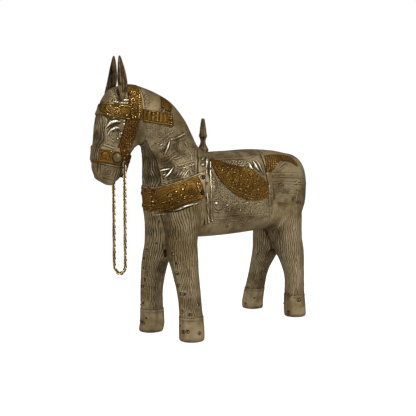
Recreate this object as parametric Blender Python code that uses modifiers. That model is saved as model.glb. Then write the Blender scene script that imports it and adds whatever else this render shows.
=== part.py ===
"""A standing horse, carved in wood and clad in thin nailed metal sheet.

The horse faces -X, its left side is towards -Y, and it stands on Z = 0. All sizes are in metres.
The wood is a body block, a neck block, a head block, four legs, two ears, a tail and a finial, which are
pegged together. The sheets follow the carved surface, straps of brass lie over them, and a chain rein
hangs from two pins in the jaw.
"""

import math

import bmesh
import bpy
import numpy as np
from mathutils import Matrix, Vector

# Clearances and sheet
GAP = 0.0003                # between two pieces that touch
SEAT_GAP = 0.0004           # between the wood and the sheet on it
SHEET = 0.0006              # white metal sheet
STRAP = 0.0007              # brass straps and plates
SEAM = 0.0006               # between the edges of two sheets that meet
BAND_RISE = 0.0002          # more room under the bands that bend round the face

# The whole horse, from the muzzle to the rump
LENGTH = 0.330945

# Body block
BACK_Z = 0.2010
BELLY_Z = 0.1055
BODY_HALF = 0.0320
CHEST_HALF = BODY_HALF + 0.0002
SADDLE_DIP = 0.0010

# Legs
FRONT_LEG_X = -0.0872
REAR_LEG_X = 0.0880
FRONT_HOOF_Y = 0.0326
REAR_HOOF_Y = 0.0342
LEG_TOP_Y = 0.0165
FRONT_HOOF_RADIUS = 0.0133
REAR_HOOF_RADIUS = 0.0127
FRONT_SHIN_RADIUS = 0.0123
REAR_SHIN_RADIUS = 0.0117
SHOULDER_RADIUS = 0.0162
THIGH_RADIUS = 0.0168
HOOF_HEIGHT = 0.0255
PEG_RADIUS = 0.0065
PEG_FOOT_Z = 0.0820
PEG_TOP_Z = 0.1260

# Dowels between the blocks
DOWEL_RADIUS = 0.0050
DOWEL_DEPTH = 0.0140

# Ears and tail
EAR_X = -0.1610
EAR_HEIGHT = 0.0425
EAR_SINK = 0.0120           # from the top of the head down to the ear's foot
EAR_PEG_RADIUS = 0.0014
EAR_PEG_DEPTH = 0.0090
TAIL_PEG_RADIUS = 0.0025
TAIL_PEG_DEPTH = 0.0110

# Finial
FINIAL_X = -0.0367
FINIAL_FOOT_RADIUS = 0.0058
FINIAL_NECK_RADIUS = 0.0029
FINIAL_BULB_RADIUS = 0.0046
FINIAL_TIP_RADIUS = 0.0021
FINIAL_HEIGHT = 0.0375
FINIAL_PEG_RADIUS = 0.0020
FINIAL_PEG_DEPTH = 0.0100

# Rein
REIN_X = -0.1600
REIN_Z = 0.1920
REIN_DROP = 0.1140
STRAND_Y = 0.0088
PIN_RADIUS = 0.0006
PIN_HEAD_RADIUS = 0.0012
PIN_DEPTH = 0.0040
LINK_PITCH = 0.00325
LINK_WIDTH = 0.0038
LINK_WIRE = 0.00105
LINK_PLAY = 0.0002

# Bosses on the noseband
BOSS_RADIUS = 0.0043
BOSS_HEIGHT = 0.0030
BOSS_X = -0.1690
BOSS_Z = 0.1983

# Facets
AROUND_BODY = 20
AROUND_NECK = 20
AROUND_HEAD = 16
AROUND_LEG = 12


def clear_scene():
    """Remove what the scene holds before the model is made."""
    for thing in list(bpy.data.objects):
        bpy.data.objects.remove(thing, do_unlink=True)


def make_collection(name):
    """A new collection in the scene."""
    collection = bpy.data.collections.new(name)
    bpy.context.scene.collection.children.link(collection)
    return collection


clear_scene()
HORSE = make_collection("horse_figure")
CUTTERS = make_collection("cutters")


def make_material(name, colour, roughness, metallic):
    """A Principled material of one colour."""
    material = bpy.data.materials.new(name)
    material.use_nodes = True
    shader = material.node_tree.nodes["Principled BSDF"]
    shader.inputs["Base Color"].default_value = (*colour, 1.0)
    shader.inputs["Roughness"].default_value = roughness
    shader.inputs["Metallic"].default_value = metallic
    material.diffuse_color = (*colour, 1.0)
    return material


WOOD = make_material("carved_wood", (0.20, 0.12, 0.06), 0.7, 0.0)
WHITE_METAL = make_material("white_metal", (0.45, 0.42, 0.33), 0.38, 1.0)
BRASS = make_material("aged_brass", (0.42, 0.30, 0.10), 0.36, 1.0)
IRON = make_material("dark_iron", (0.05, 0.045, 0.04), 0.5, 1.0)


class Loft:
    """A skin over ribs that stand across the horse.

    A rib is a superellipse. Its first axis runs in the XZ plane from its back point to its front point,
    and its second axis is Y. The angle v is 0 at the front point and 180 degrees at the back point, and
    u counts the ribs. Past the last rib the skin closes in a rounded cap when cap is more than 0.
    """

    COLUMNS = 9

    def __init__(self, ribs, cap=0.0, cap_power=2.4):
        self.ribs = np.array([(*rib, 0.0)[:self.COLUMNS] for rib in ribs])
        self.cap = cap
        self.cap_power = cap_power
        self.last = len(ribs) - 1
        along = self.ribs[-1, 0:2] - self.ribs[-1, 2:4]
        travel = self.ribs[-1, 0:4] - self.ribs[-2, 0:4]
        ahead = along[1] * (travel[0] + travel[2]) - along[0] * (travel[1] + travel[3])
        self.way = 1.0 if ahead > 0 else -1.0

    def rib(self, u):
        """The rib's values at u, on a Catmull-Rom curve through the ribs."""
        first = 2 * self.ribs[0] - self.ribs[1]
        final = 2 * self.ribs[-1] - self.ribs[-2]
        rows = np.vstack([first, self.ribs, final])
        u = np.clip(u, 0, self.last)
        step = np.minimum(np.floor(u).astype(int), self.last - 1)
        t = (u - step)[..., None]
        a, b, c, d = (rows[step + k] for k in range(4))
        return 0.5 * (2 * b + (c - a) * t + (2 * a - 5 * b + 4 * c - d) * t**2
                      + (3 * b - a - 3 * c + d) * t**3)

    def bare(self, u, v):
        """Points of the skin at u and v."""
        u, v = np.broadcast_arrays(np.asarray(u, float), np.asarray(v, float))
        row = self.rib(u)
        front = row[..., 0:2]
        back = row[..., 2:4]
        half, power, front_taper, back_taper, centre_y = (row[..., k] for k in range(4, 9))
        along = (front - back) / 2
        depth = np.linalg.norm(along, axis=-1)
        along = along / depth[..., None]
        centre = (front + back) / 2
        reach = np.clip(u - self.last, 0, 1) * math.pi / 2
        shrink = np.cos(reach) ** (2 / self.cap_power)
        advance = self.way * self.cap * np.sin(reach) ** (2 / self.cap_power)
        radius = (np.abs(np.cos(v)) ** power + np.abs(np.sin(v)) ** power) ** (-1 / power)
        c = radius * np.cos(v)
        s = radius * np.sin(v)
        width = 1 - front_taper * ((1 + c) / 2) ** 2 - back_taper * ((1 - c) / 2) ** 2
        x = centre[..., 0] + along[..., 0] * depth * c * shrink + along[..., 1] * advance
        z = centre[..., 1] + along[..., 1] * depth * c * shrink - along[..., 0] * advance
        y = centre_y + half * s * width * shrink
        return np.stack([x, y, z], -1)

    def normal(self, u, v):
        """Outward unit normals of the skin at u and v."""
        e = 0.002
        low = np.minimum(np.asarray(u, float), self.last + (1.0 - 2 * e if self.cap else -e))
        du = self.bare(low + e, v) - self.bare(low - e, v)
        dv = self.bare(low, v + e) - self.bare(low, v - e)
        n = np.cross(du, dv)
        n = n / np.linalg.norm(n, axis=-1)[..., None]
        row = self.rib(low)
        centre = (row[..., 0:2] + row[..., 2:4]) / 2
        middle = np.stack([centre[..., 0], row[..., 8], centre[..., 1]], -1)
        outward = np.sum(n * (self.bare(low, v) - middle), -1)
        return n * np.sign(outward)[..., None]

    def point(self, u, v, lift=0.0):
        """Points that lie lift outside the skin."""
        return self.bare(u, v) + lift * self.normal(u, v)

    def place(self, x, z):
        """The u and the v, on the +Y side, of the skin point seen at x and z from the side."""
        x, z = np.broadcast_arrays(np.asarray(x, float), np.asarray(z, float))
        u = np.linspace(0, self.last, 60 * self.last + 1)
        row = self.rib(u)
        front, back = row[:, 0:2], row[:, 2:4]
        along = (front - back) / 2
        depth = np.linalg.norm(along, axis=1)
        along = along / depth[:, None]
        off_x = x[..., None] - (front + back)[:, 0] / 2
        off_z = z[..., None] - (front + back)[:, 1] / 2
        across = np.abs(off_x * along[:, 1] - off_z * along[:, 0])
        c = (off_x * along[:, 0] + off_z * along[:, 1]) / depth
        across = across + np.maximum(np.abs(c) - 1, 0) * depth
        best = np.argmin(across, -1)
        c = np.clip(np.take_along_axis(c, best[..., None], -1)[..., 0], -0.999, 0.999)
        power = row[best, 5]
        s = (1 - np.abs(c) ** power) ** (1 / power)
        return u[best], np.arctan2(s, c)


def smooth(thing):
    """Shade a piece smooth, with its real edges sharp."""
    thing.data.shade_smooth()
    thing.data.set_sharp_from_angle(angle=math.radians(35))


def new_piece(name, mesh, material, collection=None):
    """An object for a mesh, in the horse's collection."""
    thing = bpy.data.objects.new(name, mesh)
    (collection or HORSE).objects.link(thing)
    if material is not None:
        mesh.materials.append(material)
    return thing


def grid_mesh(name, points, wrap=False, first_end=False, last_end=False):
    """A mesh of triangles on a grid of points, with its ring ends closed where asked.

    Skins at different lifts get the same diagonals, and the two sides of the horse mirror each other.
    """
    rows, columns = points.shape[:2]
    faces = []
    for i in range(rows - 1):
        for j in range(columns if wrap else columns - 1):
            k = (j + 1) % columns
            a, b, c, d = i * columns + j, (i + 1) * columns + j, (i + 1) * columns + k, i * columns + k
            if points[i:i + 2, [j, k], 1].sum() < 0:
                faces.extend([(a, b, c), (a, c, d)])
            else:
                faces.extend([(a, b, d), (b, c, d)])
    if first_end:
        faces.append(tuple(range(columns)))
    if last_end:
        faces.append(tuple(reversed(range((rows - 1) * columns, rows * columns))))
    mesh = bpy.data.meshes.new(name)
    mesh.from_pydata([tuple(p) for p in points.reshape(-1, 3)], [], faces)
    return mesh


def face_out(mesh):
    """Turn the faces of a closed mesh outwards."""
    work = bmesh.new()
    work.from_mesh(mesh)
    bmesh.ops.recalc_face_normals(work, faces=work.faces)
    work.to_mesh(mesh)
    work.free()


def solid_loft(name, loft, u, around, lift, material, collection=None, foot=0.0):
    """A closed solid between the first and the last u, its first ring lowered by foot."""
    v = np.linspace(0, 2 * math.pi, around, endpoint=False)
    points = loft.point(u[:, None], v[None, :], lift)
    points[0, :, 2] -= foot
    mesh = grid_mesh(name, points, wrap=True, first_end=True, last_end=True)
    face_out(mesh)
    return new_piece(name, mesh, material, collection)


def sheet_piece(name, loft, u, v, material, lift=0.0, thickness=SHEET, wrap=False, last_end=False):
    """A sheet whose outer face lies lift outside the skin, on the grid of u and v."""
    points = loft.point(u, v, lift)
    mesh = grid_mesh(name, points, wrap=wrap, last_end=last_end)
    i, j = (points.shape[0] - 1) // 2, (points.shape[1] - 1) // 2
    outward = loft.normal(np.broadcast_to(u, points.shape[:2])[i, j],
                          np.broadcast_to(v, points.shape[:2])[i, j])
    near = min(mesh.polygons, key=lambda face: (face.center - Vector(points[i, j])).length)
    if near.normal.dot(Vector(outward)) < 0:
        mesh.flip_normals()
    thing = new_piece(name, mesh, material)
    wall = thing.modifiers.new("wall", "SOLIDIFY")
    wall.thickness = thickness
    wall.offset = -1.0
    return thing


def between(lattice, low, high):
    """Values from low to high, with those of the lattice that lie clearly between."""
    margin = 0.2 * np.min(np.diff(lattice))
    inner = lattice[(lattice > low + margin) & (lattice < high - margin)]
    return np.concatenate([[low], inner, [high]])


def turns(count):
    """The angles of a section with so many facets, over two turns."""
    return np.arange(-count, count + 1) * 2 * math.pi / count


def blend(low, high, count):
    """A grid whose rows run from the border low to the border high."""
    t = np.linspace(0, 1, count)
    return np.asarray(low)[:, None] * (1 - t) + np.asarray(high)[:, None] * t


def resample(points, count):
    """Points evenly spread along a smooth line through a few points."""
    points = np.array(points, float)
    if len(points) == 2:
        return points[0] + (points[1] - points[0]) * np.linspace(0, 1, count)[:, None]
    rows = np.vstack([2 * points[0] - points[1], points, 2 * points[-1] - points[-2]])
    fine = []
    for k in range(len(points) - 1):
        a, b, c, d = rows[k:k + 4]
        for t in np.linspace(0, 1, 20, endpoint=False):
            fine.append(0.5 * (2 * b + (c - a) * t + (2 * a - 5 * b + 4 * c - d) * t**2
                               + (3 * b - a - 3 * c + d) * t**3))
    fine = np.array([*fine, points[-1]])
    length = np.concatenate([[0], np.cumsum(np.linalg.norm(np.diff(fine, axis=0), axis=1))])
    at = np.linspace(0, length[-1], count)
    return np.stack([np.interp(at, length, fine[:, k]) for k in range(2)], -1)


def side_sheet(name, loft, upper, lower, side, counts, material, lift=0.0, thickness=SHEET):
    """A sheet on one side of a loft, between an upper and a lower border seen from the side."""
    along, across = counts
    top = resample(upper, along)
    bottom = resample(lower, along)
    x = blend(top[:, 0], bottom[:, 0], across)
    z = blend(top[:, 1], bottom[:, 1], across)
    u, v = loft.place(x, z)
    return sheet_piece(name, loft, u, side * v, material, lift, thickness)


def weld(mesh):
    """Join the corners that a cut has left closer than a thousandth of a millimetre."""
    work = bmesh.new()
    work.from_mesh(mesh)
    bmesh.ops.remove_doubles(work, verts=work.verts, dist=0.000002)
    bmesh.ops.dissolve_degenerate(work, edges=work.edges, dist=0.000002)
    work.to_mesh(mesh)
    work.free()


def boolean(thing, cutter, operation):
    """Cut or join one mesh with another, and apply it."""
    step = thing.modifiers.new(operation.lower(), "BOOLEAN")
    step.operation = operation
    step.solver = "EXACT"
    step.object = cutter
    graph = bpy.context.evaluated_depsgraph_get()
    mesh = bpy.data.meshes.new_from_object(thing.evaluated_get(graph))
    thing.modifiers.clear()
    old = thing.data
    thing.data = mesh
    mesh.name = old.name
    weld(mesh)


def hide_cutter(thing):
    """Mark an object as a tool that isn't part of the model."""
    thing.hide_render = True
    thing.display_type = "WIRE"


def cylinder(name, start, end, radius, sides=20, material=None, collection=None, end_radius=None):
    """A closed cylinder or cone between two points."""
    start, end = Vector(start), Vector(end)
    work = bmesh.new()
    bmesh.ops.create_cone(work, cap_ends=True, segments=sides, radius1=radius,
                          radius2=radius if end_radius is None else end_radius, depth=(end - start).length)
    turn = Vector((0, 0, 1)).rotation_difference(end - start).to_matrix().to_4x4()
    turn.translation = (start + end) / 2
    bmesh.ops.transform(work, matrix=turn, verts=work.verts)
    mesh = bpy.data.meshes.new(name)
    work.to_mesh(mesh)
    work.free()
    thing = new_piece(name, mesh, material, collection)
    if collection is CUTTERS:
        hide_cutter(thing)
    return thing


def cut_by_plane(thing, point, normal):
    """Remove what lies on the normal's side of a plane, and close the cut."""
    work = bmesh.new()
    work.from_mesh(thing.data)
    geometry = [*work.verts, *work.edges, *work.faces]
    cut = bmesh.ops.bisect_plane(work, geom=geometry, plane_co=Vector(point), plane_no=Vector(normal),
                                 clear_outer=True, dist=1e-7)
    edges = [g for g in cut["geom_cut"] if isinstance(g, bmesh.types.BMEdge)]
    bmesh.ops.contextual_create(work, geom=edges)
    bmesh.ops.recalc_face_normals(work, faces=work.faces)
    work.to_mesh(thing.data)
    work.free()


# The carved surface. The skin is the outer face of the white sheet.
CORE_LIFT = -(SHEET + SEAT_GAP)
OVER_LIFT = GAP + STRAP

barrel = Loft([
    # top x, z, bottom x, z, half width, squareness, top taper, bottom taper
    (-0.0660, BACK_Z - 0.0200, -0.0660, BELLY_Z + 0.0035, BODY_HALF - 0.0020, 2.6, 0.1, 0.0),
    (-0.0500, BACK_Z - 0.0060, -0.0500, BELLY_Z + 0.0010, BODY_HALF - 0.0002, 2.6, 0.1, 0.0),
    (-0.0300, BACK_Z - SADDLE_DIP, -0.0300, BELLY_Z, BODY_HALF, 2.6, 0.1, 0.0),
    (0.0050, BACK_Z, 0.0050, BELLY_Z - 0.0005, BODY_HALF, 2.6, 0.1, 0.0),
    (0.0400, BACK_Z + 0.0010, 0.0400, BELLY_Z, BODY_HALF, 2.6, 0.1, 0.0),
    (0.0750, BACK_Z - 0.0010, 0.0740, BELLY_Z + 0.0010, BODY_HALF, 2.7, 0.1, 0.0),
    (0.1020, BACK_Z - 0.0050, 0.0940, BELLY_Z + 0.0040, BODY_HALF - 0.0005, 2.7, 0.1, 0.0),
], cap=0.0310)

neck = Loft([
    # front x, z, back x, z, half width, squareness, front taper, back taper
    (-0.0925, 0.0900, -0.0800, 0.0910, CHEST_HALF - 0.0100, 3.0, 0.05, 0.0),
    (-0.0955, 0.1070, -0.0700, 0.1080, CHEST_HALF - 0.0060, 3.6, 0.05, 0.0),
    (-0.0995, 0.1280, -0.0500, 0.1370, CHEST_HALF - 0.0040, 4.0, 0.04, 0.0),
    (-0.1065, 0.1400, -0.0370, 0.1600, CHEST_HALF, 4.2, 0.06, 0.0),
    (-0.1130, 0.1550, -0.0350, 0.1750, CHEST_HALF - 0.0010, 4.0, 0.14, 0.0),
    (-0.1195, 0.1660, -0.0360, 0.1880, 0.0275, 3.4, 0.30, 0.1),
    (-0.1200, 0.1760, -0.0420, 0.2015, 0.0215, 2.8, 0.30, 0.3),
    (-0.1200, 0.1880, -0.0500, 0.2085, 0.0180, 2.8, 0.25, 0.4),
    (-0.1205, 0.1990, -0.0580, 0.2210, 0.0165, 2.8, 0.20, 0.4),
    (-0.1220, 0.2055, -0.0700, 0.2380, 0.0158, 2.8, 0.15, 0.4),
    (-0.1250, 0.2090, -0.0890, 0.2550, 0.0152, 2.8, 0.10, 0.4),
    (-0.1285, 0.2105, -0.1120, 0.2650, 0.0145, 2.8, 0.10, 0.35),
    (-0.1320, 0.2110, -0.1360, 0.2715, 0.0138, 2.8, 0.10, 0.30),
    (-0.1360, 0.2110, -0.1440, 0.2725, 0.0134, 2.8, 0.10, 0.30),
])
COLLAR_LOW = 3.0
COLLAR_HIGH = 5.0
NECK_JOINT = 6.0
HEAD_JOINT = 12.0

head = Loft([
    # face x, z, jaw x, z, half width, squareness, face taper, jaw taper
    (-0.1280, 0.2705, -0.1290, 0.2110, 0.0142, 2.8, 0.30, 0.10),
    (-0.1360, 0.2715, -0.1320, 0.2110, 0.0138, 2.8, 0.30, 0.10),
    (-0.1510, 0.2720, -0.1380, 0.2090, 0.0132, 2.8, 0.30, 0.10),
    (-0.1680, 0.2680, -0.1420, 0.2065, 0.0126, 2.9, 0.30, 0.15),
    (-0.1765, 0.2610, -0.1430, 0.2052, 0.0122, 3.0, 0.29, 0.20),
    (-0.1815, 0.2530, -0.1445, 0.2035, 0.0118, 3.1, 0.28, 0.25),
    (-0.1875, 0.2350, -0.1480, 0.1985, 0.0098, 3.4, 0.18, 0.30),
    (-0.1903, 0.2170, -0.1515, 0.1910, 0.0078, 3.4, 0.10, 0.30),
    (-0.1925, 0.2020, -0.1555, 0.1825, 0.0067, 3.4, 0.05, 0.25),
    (-0.1938, 0.1890, -0.1620, 0.1760, 0.0062, 3.4, 0.05, 0.20),
    (-0.1905, 0.1805, -0.1690, 0.1720, 0.0056, 3.4, 0.05, 0.10),
], cap=0.0045)

breech = Loft([
    # front x, z, back x, z, half width, squareness, front taper, back taper
    (0.0880, 0.0770, 0.1020, 0.0770, 0.0200, 2.6, 0.0, 0.0),
    (0.0820, 0.0910, 0.1080, 0.0910, 0.0260, 2.6, 0.0, 0.0),
    (0.0760, 0.1090, 0.1120, 0.1090, 0.0290, 2.6, 0.0, 0.0),
    (0.0790, 0.1500, 0.1110, 0.1500, 0.0270, 2.6, 0.0, 0.0),
])


def round_row(height, offset, lean, radius):
    """A round section of a leg: its centre lies offset behind the hoof's."""
    return (height, 0.0, radius - offset, radius + offset, lean, radius)


# Leg sections: height at the front, rise to the back, reach forwards and backwards from the hoof's x,
# lean from the body (0) to the hoof (1), half width
FRONT_LEG_ROWS = [
    round_row(0.0000, 0.0000, 1.00, FRONT_HOOF_RADIUS - 0.0018),
    round_row(0.0020, 0.0000, 0.99, FRONT_HOOF_RADIUS - 0.0002),
    round_row(0.0100, 0.0007, 0.93, FRONT_HOOF_RADIUS),
    round_row(HOOF_HEIGHT, 0.0003, 0.915, FRONT_HOOF_RADIUS - 0.0005),
    round_row(HOOF_HEIGHT + 0.0030, 0.0000, 0.91, FRONT_SHIN_RADIUS),
    round_row(0.0500, -0.0013, 0.81, FRONT_SHIN_RADIUS),
    round_row(0.0760, -0.0019, 0.48, SHOULDER_RADIUS - 0.0020),
    round_row(0.0880, -0.0010, 0.24, SHOULDER_RADIUS - 0.0003),
    (0.1030, 0.0020, 0.0160, 0.0160, 0.08, SHOULDER_RADIUS),
    (0.1160, 0.0060, 0.0165, 0.0200, 0.04, SHOULDER_RADIUS + 0.0002),
    (0.1270, 0.0110, 0.0175, 0.0235, 0.01, SHOULDER_RADIUS + 0.0002),
    (0.1385, 0.0135, 0.0200, 0.0240, 0.00, SHOULDER_RADIUS + 0.0001),
]
REAR_LEG_ROWS = [
    round_row(0.0000, 0.0000, 1.00, REAR_HOOF_RADIUS - 0.0018),
    round_row(0.0020, 0.0000, 1.00, REAR_HOOF_RADIUS - 0.0002),
    round_row(0.0100, -0.0003, 0.98, REAR_HOOF_RADIUS),
    round_row(HOOF_HEIGHT, 0.0011, 0.87, REAR_HOOF_RADIUS - 0.0005),
    round_row(HOOF_HEIGHT + 0.0030, 0.0018, 0.85, REAR_SHIN_RADIUS),
    round_row(0.0500, 0.0051, 0.655, REAR_SHIN_RADIUS + 0.0002),
    round_row(0.0760, 0.0078, 0.17, THIGH_RADIUS - 0.0006),
    round_row(0.0950, 0.0062, 0.03, THIGH_RADIUS),
    round_row(0.1150, 0.0066, 0.00, THIGH_RADIUS - 0.0002),
    round_row(0.1350, 0.0085, -0.05, THIGH_RADIUS - 0.0010),
    round_row(0.1500, 0.0100, -0.08, THIGH_RADIUS - 0.0023),
]
LEGS = {
    # rows, x of the hoof, y of the hoof, side
    "front_left": (FRONT_LEG_ROWS, FRONT_LEG_X, FRONT_HOOF_Y, -1),
    "front_right": (FRONT_LEG_ROWS, FRONT_LEG_X, FRONT_HOOF_Y, 1),
    "rear_left": (REAR_LEG_ROWS, REAR_LEG_X, REAR_HOOF_Y, -1),
    "rear_right": (REAR_LEG_ROWS, REAR_LEG_X, REAR_HOOF_Y, 1),
}
SOLE_U = 0.0
HOOF_U = 3.0
SHIN_U = 4.0


def leg_loft(rows, x, hoof_y, side):
    """The skin of a leg from its sole to its top."""
    ribs = []
    for z, rise, ahead, behind, lean, half in rows:
        y = side * (LEG_TOP_Y + lean * (hoof_y - LEG_TOP_Y))
        ribs.append((x - ahead, z, x + behind, z + rise, half, 2.1 + 15 * rise, 0.0, 0.0, y))
    return Loft(ribs)


leg_lofts = {name: leg_loft(*values) for name, values in LEGS.items()}
CAP_STATIONS = np.array([0.25, 0.5, 0.72, 0.9])
TIP_STATIONS = np.array([0.5, 0.85])
SIDES = {"left": -1, "right": 1}


# The stations of the facets, shared by the wood and the sheets on it
BARREL_LINES = np.array([0, 1, 2, 3, 4, 5, 6])
NECK_LINES = np.array([0, 1, 2, 3, 4, 5, 6, 7, 8, 9, 9.5, 10, 10.5, 11, 11.5, 12, 13])
HEAD_LINES = np.array([0, 1, 2, 3, 4, 5, 6, 7, 8, 9, 10])
BREECH_LINES = np.array([0, 1, 2, 3])


def rib_plane(loft, u):
    """The middle of a rib's plane, and its normal towards rising u."""
    row = loft.rib(np.array(float(u)))
    ahead = loft.rib(np.array(float(u) + 0.05))
    front, back = row[0:2], row[2:4]
    along = (front - back) / np.linalg.norm(front - back)
    normal = np.array([along[1], 0.0, -along[0]])
    step = ((ahead[0:2] + ahead[2:4]) - (front + back)) / 2
    if normal[0] * step[0] + normal[2] * step[1] < 0:
        normal = -normal
    middle = (front + back) / 2
    return np.array([middle[0], 0.0, middle[1]]), normal


def hidden(thing):
    """Mark a cutter and give it back."""
    hide_cutter(thing)
    return thing


def barrel_solid(name, lift, material=None, collection=None):
    """The barrel's solid at a lift from the skin."""
    u = np.concatenate([BARREL_LINES, barrel.last + CAP_STATIONS])
    return solid_loft(name, barrel, u, AROUND_BODY, lift, material, collection)


def chest_solid(name, lift, collection, foot=0.0):
    """The chest and neck foot at a lift from the skin."""
    return solid_loft(name, neck, NECK_LINES[NECK_LINES <= 8], AROUND_NECK, lift, None, collection, foot)


def breech_solid(name, lift, collection, foot=0.0):
    """The block between the hind legs at a lift from the skin."""
    return solid_loft(name, breech, BREECH_LINES, AROUND_LEG, lift, None, collection, foot)


def head_solid(name, lift, material=None, collection=None):
    """The head's solid at a lift from the skin."""
    u = np.concatenate([HEAD_LINES, head.last + TIP_STATIONS])
    return solid_loft(name, head, u, AROUND_HEAD, lift, material, collection)


def half_space(name, point, normal, back=0.0, reach=0.35):
    """A block that fills the normal's side of a plane, moved back along the normal."""
    point, normal = Vector(point), Vector(normal).normalized()
    start = point - normal * back
    return cylinder(name, start, start + normal * reach, reach, 8, None, CUTTERS)


def drill(thing, start, end, radius, sides=16):
    """Cut a round hole between two points."""
    boolean(thing, cylinder("drill", start, end, radius, sides, None, CUTTERS), "DIFFERENCE")


def keep_largest(thing):
    """Keep the largest of the bodies that a cut has left."""
    work = bmesh.new()
    work.from_mesh(thing.data)
    left = set(work.verts)
    islands = []
    while left:
        island = {left.pop()}
        edge = set(island)
        while edge:
            edge = {e.other_vert(v) for v in edge for e in v.link_edges} - island
            island |= edge
        left -= island
        islands.append(island)
    islands.sort(key=len)
    bmesh.ops.delete(work, geom=[v for island in islands[:-1] for v in island], context="VERTS")
    work.to_mesh(thing.data)
    work.free()


def finish_sheet(thing, cutters=()):
    """Apply a sheet's wall and fit its edges against other pieces."""
    graph = bpy.context.evaluated_depsgraph_get()
    mesh = bpy.data.meshes.new_from_object(thing.evaluated_get(graph))
    thing.modifiers.clear()
    thing.data = mesh
    for cutter in cutters:
        boolean(thing, cutter, "DIFFERENCE")
    if cutters:
        keep_largest(thing)
    smooth(thing)
    return thing


neck_point, neck_normal = rib_plane(neck, NECK_JOINT)
head_point, head_normal = rib_plane(neck, HEAD_JOINT)

# Body block: barrel, chest and breech in one, cut off where the neck stands
body = barrel_solid("body_core", CORE_LIFT, WOOD)
boolean(body, hidden(chest_solid("chest_union", CORE_LIFT, CUTTERS)), "UNION")
boolean(body, hidden(breech_solid("breech_union", CORE_LIFT, CUTTERS)), "UNION")
cut_by_plane(body, neck_point - neck_normal * GAP / 2, neck_normal)

# Neck block between its two joints
neck_block = solid_loft("neck_core", neck, NECK_LINES[NECK_LINES >= 5], AROUND_NECK, CORE_LIFT, WOOD)
cut_by_plane(neck_block, neck_point + neck_normal * GAP / 2, -neck_normal)
cut_by_plane(neck_block, head_point - head_normal * GAP / 2, head_normal)

# Head block
head_block = head_solid("head_core", CORE_LIFT, WOOD)
cut_by_plane(head_block, head_point + head_normal * GAP / 2, -head_normal)


def dowel(name, point, normal, blocks):
    """A round dowel across the joint of two blocks, in a hole in each."""
    tip = DOWEL_DEPTH + GAP
    for block in blocks:
        drill(block, point - normal * tip, point + normal * tip, DOWEL_RADIUS + GAP)
    return cylinder(name, point - normal * DOWEL_DEPTH, point + normal * DOWEL_DEPTH, DOWEL_RADIUS, 16, WOOD)


smooth(dowel("neck_dowel", neck_point, neck_normal, (body, neck_block)))
smooth(dowel("head_dowel", head_point, head_normal, (neck_block, head_block)))

# The surfaces that legs, ears, tail and sheets are fitted against
BARREL_SKIN = hidden(barrel_solid("barrel_skin", GAP, None, CUTTERS))
CHEST_SKIN = hidden(chest_solid("chest_skin", GAP, CUTTERS))
BREECH_SKIN = hidden(breech_solid("breech_skin", GAP, CUTTERS))
HEAD_SKIN = hidden(head_solid("head_skin", GAP, None, CUTTERS))
HEAD_OVER = hidden(head_solid("head_over", OVER_LIFT + 2 * BAND_RISE + GAP, None, CUTTERS))
BODY_FIT = hidden(barrel_solid("body_fit", CORE_LIFT + GAP, None, CUTTERS))
boolean(BODY_FIT, hidden(chest_solid("chest_fit", CORE_LIFT + GAP, CUTTERS, GAP)), "UNION")
boolean(BODY_FIT, hidden(breech_solid("breech_fit", CORE_LIFT + GAP, CUTTERS, GAP)), "UNION")


def leg_points(loft, u, lift=0.0):
    """Rings of a leg at a lift from its skin, the last one raised by an outward lift."""
    v = np.linspace(0, 2 * math.pi, AROUND_LEG, endpoint=False)
    points = loft.bare(u[:, None], v[None, :])
    row = loft.rib(np.broadcast_to(u[:, None], points.shape[:2]))
    centre = np.stack([(row[..., 0] + row[..., 2]) / 2, row[..., 8]], -1)
    away = points[..., :2] - centre
    points[..., :2] += away / np.linalg.norm(away, axis=-1)[..., None] * lift
    points[-1, :, 2] += max(lift, 0.0)
    return points


def leg_solid(name, loft, lift, material=None, collection=None):
    """A leg's solid at a lift from its skin, with a level sole."""
    points = leg_points(loft, np.arange(loft.last + 1.0), lift)
    mesh = grid_mesh(name, points, wrap=True, first_end=True, last_end=True)
    face_out(mesh)
    return new_piece(name, mesh, material, collection)


def leg_sleeve(name, loft, u):
    """A sheet sleeve round a leg."""
    points = leg_points(loft, u)
    mesh = grid_mesh(name, points, wrap=True)
    first = mesh.polygons[0]
    if first.normal.dot(first.center - Vector(points[0].mean(0))) < 0:
        mesh.flip_normals()
    thing = new_piece(name, mesh, WHITE_METAL)
    wall = thing.modifiers.new("wall", "SOLIDIFY")
    wall.thickness = SHEET
    wall.offset = -1.0
    return thing


# Legs: a carved leg with its peg, a sheet sleeve and a hoof cap
LEG_SKINS = {}
CAP_U = np.array([0.4, 1.0, 2.0, HOOF_U + 0.08])
for leg_name, (rows, leg_x, hoof_y, side) in LEGS.items():
    loft = leg_lofts[leg_name]
    foot = (leg_x, side * LEG_TOP_Y, PEG_FOOT_Z)
    top = (leg_x, side * LEG_TOP_Y, PEG_TOP_Z)
    leg = leg_solid(f"leg_core_{leg_name}", loft, CORE_LIFT, WOOD)
    boolean(leg, BODY_FIT, "DIFFERENCE")
    keep_largest(leg)
    boolean(leg, cylinder("peg", foot, top, PEG_RADIUS, 16, None, CUTTERS), "UNION")
    smooth(leg)
    drill(body, (foot[0], foot[1], foot[2] - 0.01), (top[0], top[1], top[2] + GAP), PEG_RADIUS + GAP)
    LEG_SKINS[leg_name] = hidden(leg_solid(f"skin_{leg_name}", loft, GAP, None, CUTTERS))
    sleeve_u = np.concatenate([[HOOF_U + 0.2], np.arange(SHIN_U, loft.last + 0.5)])
    finish_sheet(leg_sleeve(f"leg_sheet_{leg_name}", loft, sleeve_u), [BARREL_SKIN, CHEST_SKIN, BREECH_SKIN])
    finish_sheet(leg_sleeve(f"hoof_cap_{leg_name}", loft, CAP_U))
ALL_LEGS = list(LEG_SKINS.values())
FRONT_LEGS = ALL_LEGS[:2]
REAR_LEGS = ALL_LEGS[2:]

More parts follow.
